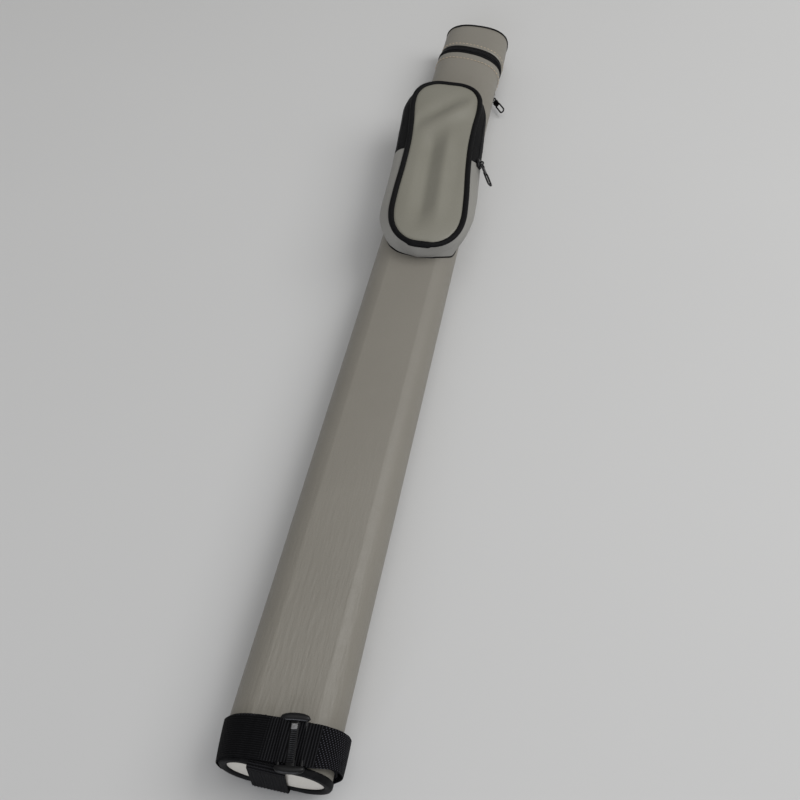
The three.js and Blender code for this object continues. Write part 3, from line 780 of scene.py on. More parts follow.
def stitches(name, path, length, gap, radius, look, slot, body, lift):
    """Short threads lying end to end along a path of (point, out direction, ...)."""
    parts = []
    spots = list(walk(path, 0.0, (length, gap)))
    for (start, out_a, _), (end, out_b, _) in zip(spots[0::2], spots[1::2]):
        points = []
        for index in range(6):
            k = index / 5
            rise = lift + radius * (1.5 * math.sin(math.pi * k) - 1.0)
            points.append(start.lerp(end, k) + out_a.lerp(out_b, k) * rise)
        parts.append(tube_part(points, radius, 6, 0.5))
    return finish_piece(join_parts(name, parts, 60), look, slot, body)


ZIP_STITCH = (2.6, 1.6, 0.36)


def lid_stitching():
    body_row = []
    for point, out, side in zip_path(0.75):
        nx = Vector(out).x
        shift = Vector(out) * 0.45 * max(nx, 0)
        body_row.append((Vector(point) + shift - Vector((0, ZIP_HALF_BAND + 11, 0)), out, side))
    stitches("body_zip_stitches", body_row, *ZIP_STITCH, PALE_THREAD, "leatherette", "case", 0.0)
    lid_row = []
    for point, out, side in zip_path(0.2, LID_SHIFT, ZIP_HALF_BAND + 5):
        lid_row.append((Vector(point) + Vector((0, ZIP_HALF_BAND + 5, 0)), out, side))
    stitches("lid_zip_stitches", lid_row, *ZIP_STITCH, PALE_THREAD, "leatherette", "lid", 0.05)


# ---- strap --------------------------------------------------------------------------------------
GLIDE_HALF = 7.0
LEG_CENTRE = -2.0
LEG_HALF_WIDTH = 11.9
BAND_TURNS = 3
BAND_LEAN = 3.1
LOOSE_EDGE = 2.6


def strap_rise_at_glide(x, y):
    """How the outer layer of webbing climbs over the tri-glide's outer bars and dips under its middle bar."""
    x -= math.tan(GLIDE_TURN) * (GLIDE_Y - y)
    over = bump(x, GLIDE_X - GLIDE_HALF, 2.1) + bump(x, GLIDE_X + GLIDE_HALF, 2.1)
    return 2.1 * min(over, 1.0)


def layer_height(nx, nz, t, x):
    """How far the wound webbing lies from the tube after t turns: tight at the left, loose at the right."""
    pitch = 0.95 - 0.05 * max(-nz, 0) + 0.25 * max(nx, 0) - 0.1 * max(-nx, 0)
    over_leg = smoothstep(LEG_HALF_WIDTH + 4, LEG_HALF_WIDTH, abs(x - LEG_CENTRE))
    over_leg *= smoothstep(0.5, 0.9, abs(nz))
    return 0.12 + pitch * t + LEG_THICK * over_leg


def winding_path():
    """The wound strap's path: three turns, clockwise seen from the base, ending on the front."""
    ring = list(reversed(section_ring(0, flat_steps=44, side_steps=20)))
    count = len(ring)
    on_front = [i for i in range(count) if ring[i][1] >= 0]
    start = min(on_front, key=lambda i: abs(ring[i][0] - BAND_END_X))
    path = []
    for step in range(BAND_TURNS * count + 1):
        t = step / count
        x, z, nx, nz = ring[(start + step) % count]
        out = layer_height(nx, nz, t, x)
        if t > 1.9 and nx > 0.1:
            out += 2.6 * smoothstep(0.1, 0.9, nx)
        shift = 0.05 * x + 0.5 * math.sin(2.2 * t + 0.6) + 0.25 * math.sin(9.0 * t)
        if t < 2.3:
            shift += 1.0 + 1.2 * max(nx, 0)
        path.append(((x + nx * out, BAND_MIDDLE + shift - 0.4, z + nz * out), (nx, 0, nz), (0, 1, 0), t))
    return path


def strap_band():
    path = winding_path()
    profile = sheet_profile(STRAP_THICK, BAND_HALF_WIDTH, 18)
    rows = []
    values = []
    travelled = 0.0
    for index, (point, out, side, t) in enumerate(path):
        point, out, side = Vector(point), Vector(out), Vector(side)
        if index:
            travelled += (point - Vector(path[index - 1][0])).length
        wobble = 0.35 * noise.noise(Vector((travelled * 0.12, 3.1, 0)))
        on_last_front = t > 2.5 and point.z > 0
        fray = 1.3 * bump(point.x, -10.5, 2.2) * on_last_front
        row = []
        for a, b in profile:
            edge = abs(b) > BAND_HALF_WIDTH - 0.6
            extra = (wobble + (fray * (0.6 + 0.4 * math.sin(index * 2.1)) if b > 0 else 0)) if edge else 0
            cup = -0.25 * (b / BAND_HALF_WIDTH) ** 2
            lean = -BAND_LEAN * smoothstep(0.2, 1.0, -out.x) * (0.55 - 0.45 * b / BAND_HALF_WIDTH)
            if b < 0:
                extra += LOOSE_EDGE * smoothstep(0.3, 1.0, out.x) * -b / BAND_HALF_WIDTH
            near_glide = on_last_front and abs(point.x) < 25
            rise = strap_rise_at_glide(point.x, point.y + b) if near_glide else 0.0
            row.append(point + out * (a + cup + lean + rise) + side * (b + extra))
            values.append((travelled, b))
        rows.append(row)
    split = next(i for i, p in enumerate(path) if p[3] > 2.32)
    row_length = len(profile)
    inner_rows, outer_rows = rows[:split + 1], rows[split:]
    inner = loft("strap_inner_turns", inner_rows, values=values[:(split + 1) * row_length])
    finish_piece(inner, TWILL, "webbing", "case", ["strap_winding"])
    outer = loft("strap_outer_layer", outer_rows, values=values[split * row_length:])
    finish_piece(outer, BAND_WEAVE, "webbing", "case", ["strap_outer_turn", "strap_end"])


def rounded_bar(centre, half_x, half_y, half_z, bow, columns=20, sides=14):
    """A bar across the case with rounded ends, bowed away from the middle of the band."""
    rows = []
    for index in range(columns + 1):
        k = -1 + 2 * index / columns
        size = (1 - abs(k) ** 3.5) ** 0.5 * 0.9 + 0.1
        middle = Vector(centre) + Vector((half_x * k, bow * (1 - k * k), 0))
        rows.append([middle + Vector((0, half_y * size * cos, half_z * size * sin))
                     for cos, sin in around(sides)])
    return rows_part(rows)


def tri_glide():
    """Moulded frame: two bars under the webbing, two thick rounded ends and a ribbed middle bar above it."""
    base = half_height + layer_height(0, 1, 2.7, GLIDE_X)
    reach = 14.4
    parts = []
    for side in (-1, 1):
        points = []
        for index in range(15):
            points.append((GLIDE_X + side * GLIDE_HALF, GLIDE_Y - reach + 2 * reach * index / 14, base + 1.0))
        parts.append(tube_part(points, 0.95, 10))
        end = (GLIDE_X, GLIDE_Y + side * reach, base + 1.5)
        parts.append(rounded_bar(end, GLIDE_HALF + 2.2, 2.5, 1.75, side * 0.9))
    rows = []
    ribs = 24
    steps = 5
    for index in range(ribs * steps + 1):
        y = GLIDE_Y - reach + 2 * reach * index / (ribs * steps)
        rise = 0.32 * math.sin(2 * math.pi * index / steps) * smoothstep(0, 4, reach - abs(y - GLIDE_Y))
        rows.append([(GLIDE_X + 2.7 * cos, y, base + 1.0 + (0.7 + rise) * sin) for cos, sin in around(12)])
    parts.append(rows_part(rows))
    about = Matrix.Translation((GLIDE_X, GLIDE_Y, 0)) @ Matrix.Rotation(GLIDE_TURN, 4, "Z")
    about = about @ Matrix.Translation((-GLIDE_X, -GLIDE_Y, 0))
    parts = [([about @ Vector(point) for point in points], faces, values)
             for points, faces, values in parts]
    frame_piece = join_parts("tri_glide_frame", parts, 50)
    finish_piece(frame_piece, PLASTIC, "plastic", "case", ["triglide"])
    # A small light grey block near the frame's upper end is a painted glint, where light catches the end of
    # the slot.
    centre = (GLIDE_X, GLIDE_Y + reach - 4.8, base + 1.9)
    points, faces, values = block_part(centre, ((1, 0, 0), (0, 1, 0), (0, 0, 1)), (1.8, 1.7, 0.5))
    glint_block = ([about @ point for point in points], faces, values)
    finish_piece(join_parts("tri_glide_painted_glint", [glint_block], 20), GLINT_GREY, "plastic", "case")


def base_strap():
    """Webbing across the base, with its legs going up under the wound strap."""
    face = -5.0
    reach = half_height + 0.05
    leg = 22.0
    corner = 2.6
    path = []

    def add(y, z, out_y, out_z):
        path.append(((LEG_CENTRE, y, z), (0, out_y, out_z), (1, 0, 0)))

    def quarter(sign):
        for index in range(1, 8):
            angle = math.pi / 2 * index / 8
            if sign > 0:
                add(face + corner - corner * math.sin(angle), reach - corner + corner * math.cos(angle),
                    -math.sin(angle), math.cos(angle))
            else:
                add(face + corner - corner * math.cos(angle), corner - reach - corner * math.sin(angle),
                    -math.cos(angle), -math.sin(angle))

    for index in range(8):
        add(leg - (leg - face - corner) * index / 7, reach, 0, 1)
    quarter(1)
    for index in range(25):
        z = (reach - corner) * (1 - 2 * index / 24)
        add(face + 0.12 * math.sin(math.pi * index / 6) * (index / 24), z, -1, 0)
    quarter(-1)
    for index in range(8):
        add(face + corner + (leg - face - corner) * index / 7, -reach, 0, -1)
    flat = sheet_profile(LEG_THICK, LEG_HALF_WIDTH, 72)
    profile = [(a + (0.16 * math.sin(2 * math.pi * b / 2.1) if a >= LEG_THICK else 0), b) for a, b in flat]
    piece = sweep("base_strap_webbing", path, profile)
    return finish_piece(piece, RIBBED, "webbing", "case", ["base_strap"])


def strap_back():
    """The strap's run up the back, sewn down under a leatherette patch near the top."""
    half = 14.3
    z = -half_height - 0.12
    path = []
    for index in range(60):
        y = 22 + (742 - 22) * index / 59
        sag = 0.25 * noise.noise(Vector((0, y * 0.02, 5)))
        lift = 1.5 * smoothstep(698, 706, y)
        path.append(((0.5 * math.sin(y * 0.01), y, z - lift - abs(sag)), (0, 0, -1), (1, 0, 0)))
    strap = sweep("strap_back_webbing", path, sheet_profile(1.4, half, 16))
    finish_piece(strap, RIBBED, "webbing", "case", ["strap_back_run"])
    rows = []
    half_x, low_y, high_y = 18.5, 696.0, 747.0
    steps = 26
    for i in range(steps + 1):
        y = low_y + (high_y - low_y) * i / steps
        inset_y = smoothstep(0, 2.2, min(y - low_y, high_y - y))
        upper, lower = [], []
        for j in range(steps + 1):
            x = -half_x + 2 * half_x * j / steps
            inset = smoothstep(0, 2.2, half_x - abs(x)) * inset_y
            over_strap = smoothstep(17.2, 14.6, abs(x))
            depth = 0.5 + 0.35 * inset + 3.1 * over_strap * smoothstep(0, 3.5, min(y - low_y, high_y - y))
            ripple = 0.12 * noise.noise(Vector((x * 0.2, y * 0.2, 0)))
            upper.append((x, y, -half_height - 0.1 - min(depth + ripple, 4.15)))
            lower.append((x, y, -half_height - 0.1 - max(min(depth, 4.0) - 0.6, 0.0)))
        rows.append(upper + list(reversed(lower)))
    patch = loft("anchor_patch_leather", rows)
    finish_piece(patch, LEATHER, "leatherette", "case", ["strap_anchor_patch"])
    box = [(-11, 704), (11, 704), (11, 738), (-11, 738), (-11, 704), (11, 738)]
    path = []
    for (x0, y0), (x1, y1) in zip(box, box[1:]):
        for index in range(8):
            k = index / 8
            at = (x0 + (x1 - x0) * k, y0 + (y1 - y0) * k, -half_height - 4.05)
            path.append((at, (0, 0, -1), (1, 0, 0)))
    stitches("anchor_stitches", path, 2.6, 1.2, 0.22, GREY_THREAD, "leatherette", "case", 0.1)


# ---- pocket -------------------------------------------------------------------------------------
# Half-widths of the pocket's outlines at distances along the pocket from its middle, in millimetres.
PANEL_SIDE = [(-122.5, 11), (-116, 20.5), (-104, 27.6), (-88, 31), (-60, 31.2), (-15, 29.2),
              (22, 28.6), (55, 30), (86, 32.4), (103, 31), (115, 24.5), (122, 13)]
WALL_SIDE = [(-122, 14), (-112, 27), (-98, 35.5), (-78, 40.8), (-50, 42.6), (0, 42.4),
             (60, 42.6), (88, 41.4), (106, 35.5), (118, 25), (125, 12)]
OUTLINE_COUNT = 220


def closed_spline(points, count):
    """Even points on a closed centripetal Catmull-Rom curve, with outward directions."""
    size = len(points)
    dense = []
    for i in range(size):
        p0, p1, p2, p3 = (Vector(points[(i + k - 1) % size]) for k in range(4))
        knots = [0.0]
        for a, b in ((p0, p1), (p1, p2), (p2, p3)):
            knots.append(knots[-1] + max((b - a).length, 1e-6) ** 0.5)
        t0, t1, t2, t3 = knots
        for step in range(24):
            t = t1 + (t2 - t1) * step / 24
            a1 = p0 * ((t1 - t) / (t1 - t0)) + p1 * ((t - t0) / (t1 - t0))
            a2 = p1 * ((t2 - t) / (t2 - t1)) + p2 * ((t - t1) / (t2 - t1))
            a3 = p2 * ((t3 - t) / (t3 - t2)) + p3 * ((t - t2) / (t3 - t2))
            b1 = a1 * ((t2 - t) / (t2 - t0)) + a2 * ((t - t0) / (t2 - t0))
            b2 = a2 * ((t3 - t) / (t3 - t1)) + a3 * ((t - t1) / (t3 - t1))
            dense.append(b1 * ((t2 - t) / (t2 - t1)) + b2 * ((t - t1) / (t2 - t1)))
    lengths = [0.0]
    for i in range(len(dense)):
        lengths.append(lengths[-1] + (dense[(i + 1) % len(dense)] - dense[i]).length)
    total = lengths[-1]
    result = []
    j = 0
    for i in range(count):
        target = total * i / count
        while lengths[j + 1] < target:
            j += 1
        k = (target - lengths[j]) / (lengths[j + 1] - lengths[j])
        result.append(dense[j].lerp(dense[(j + 1) % len(dense)], k))
    outline = []
    for i in range(count):
        ahead = (result[(i + 1) % count] - result[i - 1]).normalized()
        outline.append((result[i], Vector((ahead.y, -ahead.x))))
    return outline


def mirrored(side, low_end, high_end):
    points = [(0.0, -low_end)] + [(u, v) for v, u in side]
    points += [(0.0, high_end)] + [(-u, v) for v, u in reversed(side)]
    return closed_spline([Vector(point) for point in points], OUTLINE_COUNT)


def skewed(outline):
    """The pocket front's upper end is squarer than its lower end."""
    moved = []
    for point, out in outline:
        lift = 3.4 * smoothstep(-12, 26, point.x) * smoothstep(62, 112, point.y)
        lift += 2.6 * smoothstep(8, -16, point.x) * smoothstep(84, 118, point.y)
        moved.append((point + Vector((0, lift)), out))
    return moved


PANEL_OUTLINE = skewed(mirrored(PANEL_SIDE, PANEL_HALF_LENGTH, PANEL_HALF_LENGTH))
WALL_OUTLINE = mirrored(WALL_SIDE, 127.0, 127.0)


def pocket_to_case(u, v):
    turn_cos, turn_sin = math.cos(POCKET_TURN), math.sin(POCKET_TURN)
    return (POCKET_CENTRE.x + u * turn_cos - v * turn_sin, POCKET_CENTRE.y + u * turn_sin + v * turn_cos)


def outline_at(outline, s):
    """Point and outward direction at s, in outline steps, with s wrapping round."""
    i = math.floor(s)
    k = s - i
    a, b = outline[i % OUTLINE_COUNT], outline[(i + 1) % OUTLINE_COUNT]
    return a[0].lerp(b[0], k), a[1].lerp(b[1], k).normalized()


FOLD_START = POCKET_SPLIT - 9.0
FOLD_END = POCKET_SPLIT + 9.0


def blend_at_fold(piece):
    """Bakes a piece's transform into its mesh; the piece spans the sewn lower part of the pocket and its
    opening flap.
    """
    start = pocket_to_case(0, FOLD_START)
    end = pocket_to_case(0, FOLD_END)
    place((*start, PANEL_Z))
    place((*end, PANEL_Z))
    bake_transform(piece)


def panel_height(u, v, k):
    """Height of the padded front: crowned, with soft dents and a lengthwise ridge right of its middle."""
    crown = 3.0 * (1 - k ** 3.0)
    valley = -5.6 * bump(u, -7.5, 7.5) * smoothstep(-116, -72, v) * smoothstep(50, 8, v)
    ridge = 3.0 * bump(u, 8.5, 5.5) * smoothstep(-112, -62, v) * smoothstep(58, 14, v)
    slant = u - 0.75 * (v - 70)
    hollow = (4.0 * bump(slant, 11.0, 12.0) - 3.2 * bump(slant, -11.0, 11.0)) * bump(v, 74, 27)
    shoulder = -0.9 * bump(u, 21.0, 6.0) * bump(v, -20, 50)
    edge_roll = -0.5 * smoothstep(0.93, 1.0, k)
    soft = 0.35 * noise.noise(Vector((u * 0.035, v * 0.02, 1.7)))
    fade = smoothstep(1.0, 0.75, k)
    return PANEL_Z - 0.2 + crown + (valley + ridge + hollow + shoulder + soft) * fade + edge_roll


PANEL_SPINE = 92.0


def panel_row(k, is_back):
    """One ring of the pocket's front or of its back, drawn in by k towards its middle line."""
    row = []
    for point, _ in PANEL_OUTLINE:
        spine_v = max(min(point.y, PANEL_SPINE), -PANEL_SPINE)
        u, v = point.x * k, spine_v + (point.y - spine_v) * k
        height = panel_height(u, v, k)
        row.append((*pocket_to_case(u, v), min(height - 1.6, PANEL_Z - 1.5) if is_back else height))
    return row


def pocket_front():
    rings = [1.0, 0.985, 0.965, 0.94, 0.91, 0.87, 0.82, 0.76, 0.69, 0.61, 0.52, 0.43, 0.34, 0.25, 0.16, 0.08]
    rows = [panel_row(k, False) for k in rings]
    back = [panel_row(k, True) for k in reversed(rings[::3])]
    points = [p for row in rows + back for p in row]
    count = OUTLINE_COUNT
    faces = loft_faces(len(rows), count, caps=False)
    faces += loft_faces(len(back), count, caps=False, start=len(rows) * count)
    inner_front = (len(rows) - 1) * count
    faces += closing_faces(inner_front, count)
    faces += closing_faces(len(rows) * count, count)
    last = (len(rows) + len(back) - 1) * count
    faces += [(j, (j + 1) % count, last + (j + 1) % count, last + j) for j in range(count)]
    piece = make_piece("pocket_front_panel", points, faces)
    fix_normals(piece)
    finish_piece(piece, PANEL_LEATHER, "leatherette", None, ["pocket_panel", "flap_panel"])
    blend_at_fold(piece)


def closing_faces(start, count):
    """Quads across a narrow ring that is symmetrical about its start point."""
    faces = []
    for j in range(count // 2):
        a, b = j, j + 1
        c, d = (count - j - 1) % count, (count - j) % count
        corners = []
        for index in (a, b, c, d):
            if start + index not in corners:
                corners.append(start + index)
        if len(corners) > 2:
            faces.append(tuple(corners))
    return faces


def pocket_binding():
    profile = [(-0.7, -0.6), (-0.4, 0.2), (0.5, 0.9), (1.9, 1.3), (3.3, 1.05), (4.3, 0.3), (4.7, -0.8),
               (4.4, -1.7), (3.4, -2.1), (3.0, -1.4), (0.9, -1.1)]
    rows = []
    values = []
    for index, (point, out) in enumerate(PANEL_OUTLINE):
        x, y = pocket_to_case(point.x, point.y)
        nx, ny = turned(out)
        at_end = point.y < -PANEL_HALF_LENGTH + 6
        lap = 1 + 0.16 * smoothstep(-13, -11.8, point.x) * smoothstep(7.5, 6.3, point.x) * at_end
        swell = 1 + (lap - 1) * 3
        rows.append([(x + nx * a * lap, y + ny * a * lap, PANEL_Z + b * swell) for a, b in profile])
        values += [(index * 3.0, a) for a, b in profile]
    piece = loft("pocket_edge_binding", rows, closed_columns=True, caps=False, values=values)
    finish_piece(piece, BINDING, "binding", None, ["pocket_binding", "flap_binding"])
    blend_at_fold(piece)


def turned(direction):
    turn_cos, turn_sin = math.cos(POCKET_TURN), math.sin(POCKET_TURN)
    return (direction.x * turn_cos - direction.y * turn_sin, direction.x * turn_sin + direction.y * turn_cos)


FOOT_SIDE = [(-123.5, 12), (-121.5, 21), (-115.5, 28.5), (-103, 33.5), (-80, 35.5), (0, 35.4),
             (60, 35.6), (88, 34.4), (104, 29), (113, 20), (118, 10)]
FOOT_OUTLINE = mirrored(FOOT_SIDE, 124.0, 119.5)
FOOT_LIMIT = 30.0
FOOT_SOFTNESS = 4.6


def wall_point(s, level, inset=0.0):
    """A point on the pocket's side wall: level 0 on the tube, 1 under the binding."""
    wall, wall_out = outline_at(WALL_OUTLINE, s)
    panel, panel_out = outline_at(PANEL_OUTLINE, s)
    foot, _ = outline_at(FOOT_OUTLINE, s)
    foot_x, foot_y = pocket_to_case(foot.x, foot.y)
    foot_y += 13.0 * smoothstep(8, 40, foot.x) * smoothstep(-90, -118, foot.y)
    if abs(foot_x) > FOOT_LIMIT:
        past = (abs(foot_x) - FOOT_LIMIT) / FOOT_SOFTNESS
        foot_x = math.copysign(FOOT_LIMIT + FOOT_SOFTNESS * math.tanh(past), foot_x)
    left_bulge = 3.6 * bump(wall.y, -92, 34) if wall.x < 0 else 0.0
    middle = wall + wall_out * (0.6 + left_bulge)
    mid_x, mid_y = pocket_to_case(middle.x, middle.y)
    top = panel + panel_out * 4.2
    top_x, top_y = pocket_to_case(top.x, top.y)
    a = Vector((foot_x, foot_y, surface_height(foot_x) + 0.15))
    b = Vector((mid_x, mid_y, 26.0))
    c = Vector((top_x, top_y, PANEL_Z - 1.2))
    control = b * 2 - (a + c) / 2
    point = a * (1 - level) ** 2 + control * (2 * level * (1 - level)) + c * level ** 2
    if inset:
        nx, ny = turned(wall_out)
        point -= Vector((nx, ny, 0)) * inset
    return point


def s_at_v(v, right):
    """Where the wall's outline passes the distance v along the pocket, on its right or left side."""
    on_side = [i for i in range(OUTLINE_COUNT) if (WALL_OUTLINE[i][0].x > 0) == right]
    return min(on_side, key=lambda i: abs(WALL_OUTLINE[i][0].y - v))


def wall_grid(name, s_limits, level_low, level_high, steps, levels, thick=1.3, wave=0.0):
    """A closed slab of the wall; s_limits(level) gives the two ends of the slab at that level."""
    outer, inner = [], []
    values = []
    for i in range(levels + 1):
        level = level_low + (level_high - level_low) * i / levels
        start, end = s_limits(level)
        for j in range(steps + 1):
            s = start + (end - start) * j / steps
            ripple = wave * noise.noise(Vector((s * 0.16, level * 2.5, 4.0)))
            outer.append(wall_point(s, level, -ripple))
            inner.append(wall_point(s, level, thick))
            values.append((s * 3.0, level * 25))
    width = steps + 1
    total = len(outer)
    points = outer + inner
    faces = loft_faces(levels + 1, width, closed_rows=False, caps=False)
    faces += [tuple(total + index for index in reversed(face)) for face in faces]
    rim = list(range(width)) + [i * width + width - 1 for i in range(1, levels + 1)]
    rim += [levels * width + j for j in range(width - 2, -1, -1)]
    rim += [i * width for i in range(levels - 1, 0, -1)]
    for a, b in zip(rim, rim[1:] + rim[:1]):
        faces.append((a, total + a, total + b, b))
    piece = make_piece(name, points, faces, values + values)
    fix_normals(piece)
    return piece


WALL_LENGTH = 660.0
ARCH_BOTTOM = 0.5
ZIP_END_RIGHT = -1.0
ZIP_END_LEFT = 8.0


def arch(level):
    """How far the grey leatherette climbs past the zip's ends, more next to the binding."""
    k = (level - ARCH_BOTTOM) / (1 - ARCH_BOTTOM)
    return 8.0 * math.sqrt(max(1 - (1 - k) ** 2, 0.0)) - 5.0


def pocket_wall():
    right = s_at_v(ZIP_END_RIGHT, True)
    left = s_at_v(ZIP_END_LEFT, False)
    per_mm = OUTLINE_COUNT / WALL_LENGTH

    def lower(level):
        reach = arch(level) * per_mm
        return left - reach - OUTLINE_COUNT, right + reach

    def upper(level):
        reach = arch(level) * per_mm + 0.12
        return right + reach, left - reach

    ring = wall_ring("pocket_gusset_band", 0.0, ARCH_BOTTOM + 0.01, 10)
    finish_piece(ring, GUSSET_LEATHER, "leatherette", "case", ["pocket_gusset", "pocket_zip_tape"])
    grey = wall_grid("pocket_gusset_leather", lower, ARCH_BOTTOM, 1.0, 130, 12, wave=0.5)
    finish_piece(grey, GUSSET_LEATHER, "leatherette", "case", ["pocket_gusset"])
    black = wall_grid("pocket_zip_upper_tape", upper, ZIP_LEVEL + 0.045, 1.0, 150, 6, 0.9, wave=0.6)
    finish_piece(black, TAPE, "zip_tape", None, ["flap_zip_tape"])
    blend_at_fold(black)
    lower_tape = wall_grid("pocket_zip_lower_tape", upper, ARCH_BOTTOM, ZIP_LEVEL - 0.02, 150, 6, 0.9,
                           wave=0.4)
    finish_piece(lower_tape, TAPE, "zip_tape", "case", ["pocket_zip_tape"])
    start, end = upper(ZIP_LEVEL)
    chain = []
    steps = 230
    for index in range(steps + 1):
        s = start + (end - start) * index / steps
        here = wall_point(s, ZIP_LEVEL + 0.015)
        above = wall_point(s, ZIP_LEVEL + 0.06)
        up = (above - here).normalized()
        ahead = (wall_point(s + 0.5, ZIP_LEVEL + 0.015) - here).normalized()
        out = ahead.cross(up).normalized()
        chain.append((here, out, up))
    teeth = teeth_along("pocket_coil_lower", chain, -1.25, -0.1, 1.5, 0.1)
    finish_piece(teeth, TEETH, "zip_teeth", "case", ["pocket_zip_teeth"])
    teeth = teeth_along("pocket_coil_upper", chain, 0.1, 1.25, 1.5, 0.1)
    finish_piece(teeth, TEETH, "zip_teeth", None, ["flap_zip_teeth"])
    blend_at_fold(teeth)
    # The dark cord round the pocket's foot is partly the real seam and partly painted shadow. It is drawn
    # thick and black to stand for the shadow line under the pocket's edge.
    seam = [wall_point(float(s), 0.02) for s in range(OUTLINE_COUNT)]
    profile = [(0.75 * math.cos(a), 0.75 * math.sin(a)) for a in (math.pi * k / 4 for k in range(8))]
    cord = sweep("pocket_foot_seam_and_shadow", seam_frames(seam), profile, closed=True)
    finish_piece(cord, BINDING, "binding", "case")


def seam_frames(points):
    """A sweep's path through closed points, with out and side directions square to it."""
    frames = []
    for index, point in enumerate(points):
        ahead = (points[(index + 1) % len(points)] - points[index - 1]).normalized()
        across = ahead.cross(Vector((0, 0, 1))).normalized()
        frames.append((point, across, ahead.cross(across)))
    return frames


def wall_ring(name, low, high, levels):
    """The lower band of the wall, all the way round."""
    rows = []
    for i in range(levels + 1):
        level = low + (high - low) * i / levels
        row = []
        for s in range(OUTLINE_COUNT):
            soft = -0.35 * noise.noise(Vector((s * 0.2, level * 3, 9))) * math.sin(math.pi * i / levels)
            row.append(wall_point(float(s), level, soft))
        rows.append(row)
    for level in (high, (low + high) / 2, low + 0.02):
        rows.append([wall_point(float(s), level, 1.2) for s in range(OUTLINE_COUNT)])
    return loft(name, rows, closed_columns=True)


# ---- sliders and pulls --------------------------------------------------------------------------

def joint_named(name):
    return next(joint for joint in frame["record"]["behaviour"]["joints"] if joint["name"] == name)


PIVOT_HEIGHT = 4.3
PIVOT_BACK = 1.0


def slider_basis(pull_joint, slide_joint):
    """Pivot in millimetres from the tube's axis, and the slider's own directions."""
    pull = joint_named(pull_joint)
    slide = joint_named(slide_joint)
    pivot = (Vector(pull["pos_m"]) - axis_point) / MM
    x = -Vector(pull["axis"]).normalized()
    y = Vector(slide["axis"]).normalized()
    return pivot, x, y, x.cross(y).normalized()


def zip_slider(prefix, lift, yaw, roll, length):
    pivot, x, y, z = slider_basis(prefix + "_pull_swing", prefix + "_slider_travel")
    base = pivot + y * PIVOT_BACK - z * PIVOT_HEIGHT

    def world(a, b, c):
        return base + x * a + y * b + z * c

    parts = []
    outline = [(-4.2, 4.2), (-3.9, 5.0), (-2.2, 5.2), (0, 4.3), (2.2, 5.2), (3.9, 5.0), (4.2, 4.2),
               (3.6, 0.0), (2.7, -4.2), (2.0, -5.0), (-2.0, -5.0), (-2.7, -4.2), (-3.6, 0.0)]
    rows = []
    for height, inset in ((0.0, 0.25), (0.3, 0.0), (1.9, 0.0), (2.6, 0.3), (2.9, 0.9)):
        rows.append([world(a * (1 - inset / 4.5), b * (1 - inset / 5.5), height) for a, b in outline])
    parts.append(rows_part(rows))
    arch_points = []
    for index in range(15):
        angle = math.pi * index / 14
        arch_points.append(world(0, -3.4 * math.cos(angle), 2.4 + 3.4 * math.sin(angle) ** 0.7))
    parts.append(tube_part(arch_points, 0.85, 10))
    slider = join_parts(prefix + "_slider_body", parts, 45)
    finish_piece(slider, METAL, "black_metal", prefix + "_slider", [prefix + "_zip_slider"])

    turn = Quaternion(x, -lift) @ Quaternion(z, yaw) @ Quaternion(y, roll)

    def hung(a, b, c):
        return pivot + turn @ (x * a + y * b + z * c)

    parts = []
    eye = []
    for index in range(21):
        angle = 2 * math.pi * index / 20
        eye.append(hung(2.6 * math.sin(angle), -2.4 + 2.4 * math.cos(angle), 0))
    parts.append(tube_part(eye, 0.75, 8))
    stem = [(2.5, -4.6), (3.3, -6.5), (3.2, -9.0), (2.9, -11.5), (3.0, -13.6)]
    rows = [[hung(half * cos, b, 0.75 * sin) for cos, sin in around(12)] for half, b in stem]
    parts.append(rows_part(rows))
    loop = []
    far, near, half = 2.6 - length, -13.0, 2.55
    for index in range(9):
        angle = math.pi * index / 8
        loop.append(hung(half * math.cos(angle), near + 0.9 * math.sin(angle), 0))
    for index in range(13):
        angle = math.pi + math.pi * index / 12
        loop.append(hung(half * math.cos(angle), far + half * math.sin(angle), 0))
    loop.append(loop[0])
    parts.append(tube_part(resample(loop, 60), 0.88, 10))
    pull = join_parts(prefix + "_pull_loop", parts, 50)
    finish_piece(pull, METAL, "black_metal", prefix + "_pull", [prefix + "_zip_pull"])


def resample(points, count):
    """Even points along an open line."""
    lengths = [0.0]
    for a, b in zip(points, points[1:]):
        lengths.append(lengths[-1] + (Vector(b) - Vector(a)).length)
    result = []
    j = 0
    for i in range(count + 1):
        target = lengths[-1] * i / count
        while j < len(points) - 2 and lengths[j + 1] < target:
            j += 1
        span = max(lengths[j + 1] - lengths[j], 1e-9)
        result.append(Vector(points[j]).lerp(Vector(points[j + 1]), (target - lengths[j]) / span))
    return result


# ---- foam inside ----------------------------------------------------------------------------------
FOAM_EDGE = 1.4
FOAM_DOME = 0.5
BORE_GAP = 0.1


def box_of(node):
    """Low and high corners of a CAD node in millimetres from the tube's axis."""
    return [(Vector(corner) - axis_point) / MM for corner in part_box(node)]


def long_round(half_x, half_z, count=72):
    """Points round two half circles joined by straight sides."""
    radius = min(half_x, half_z)
    points = []
    for index in range(count):
        angle = 2 * math.pi * (index + 0.5) / count
        x = math.copysign(half_x - radius, math.cos(angle)) + radius * math.cos(angle)
        points.append((x, radius * math.sin(angle)))
    return points


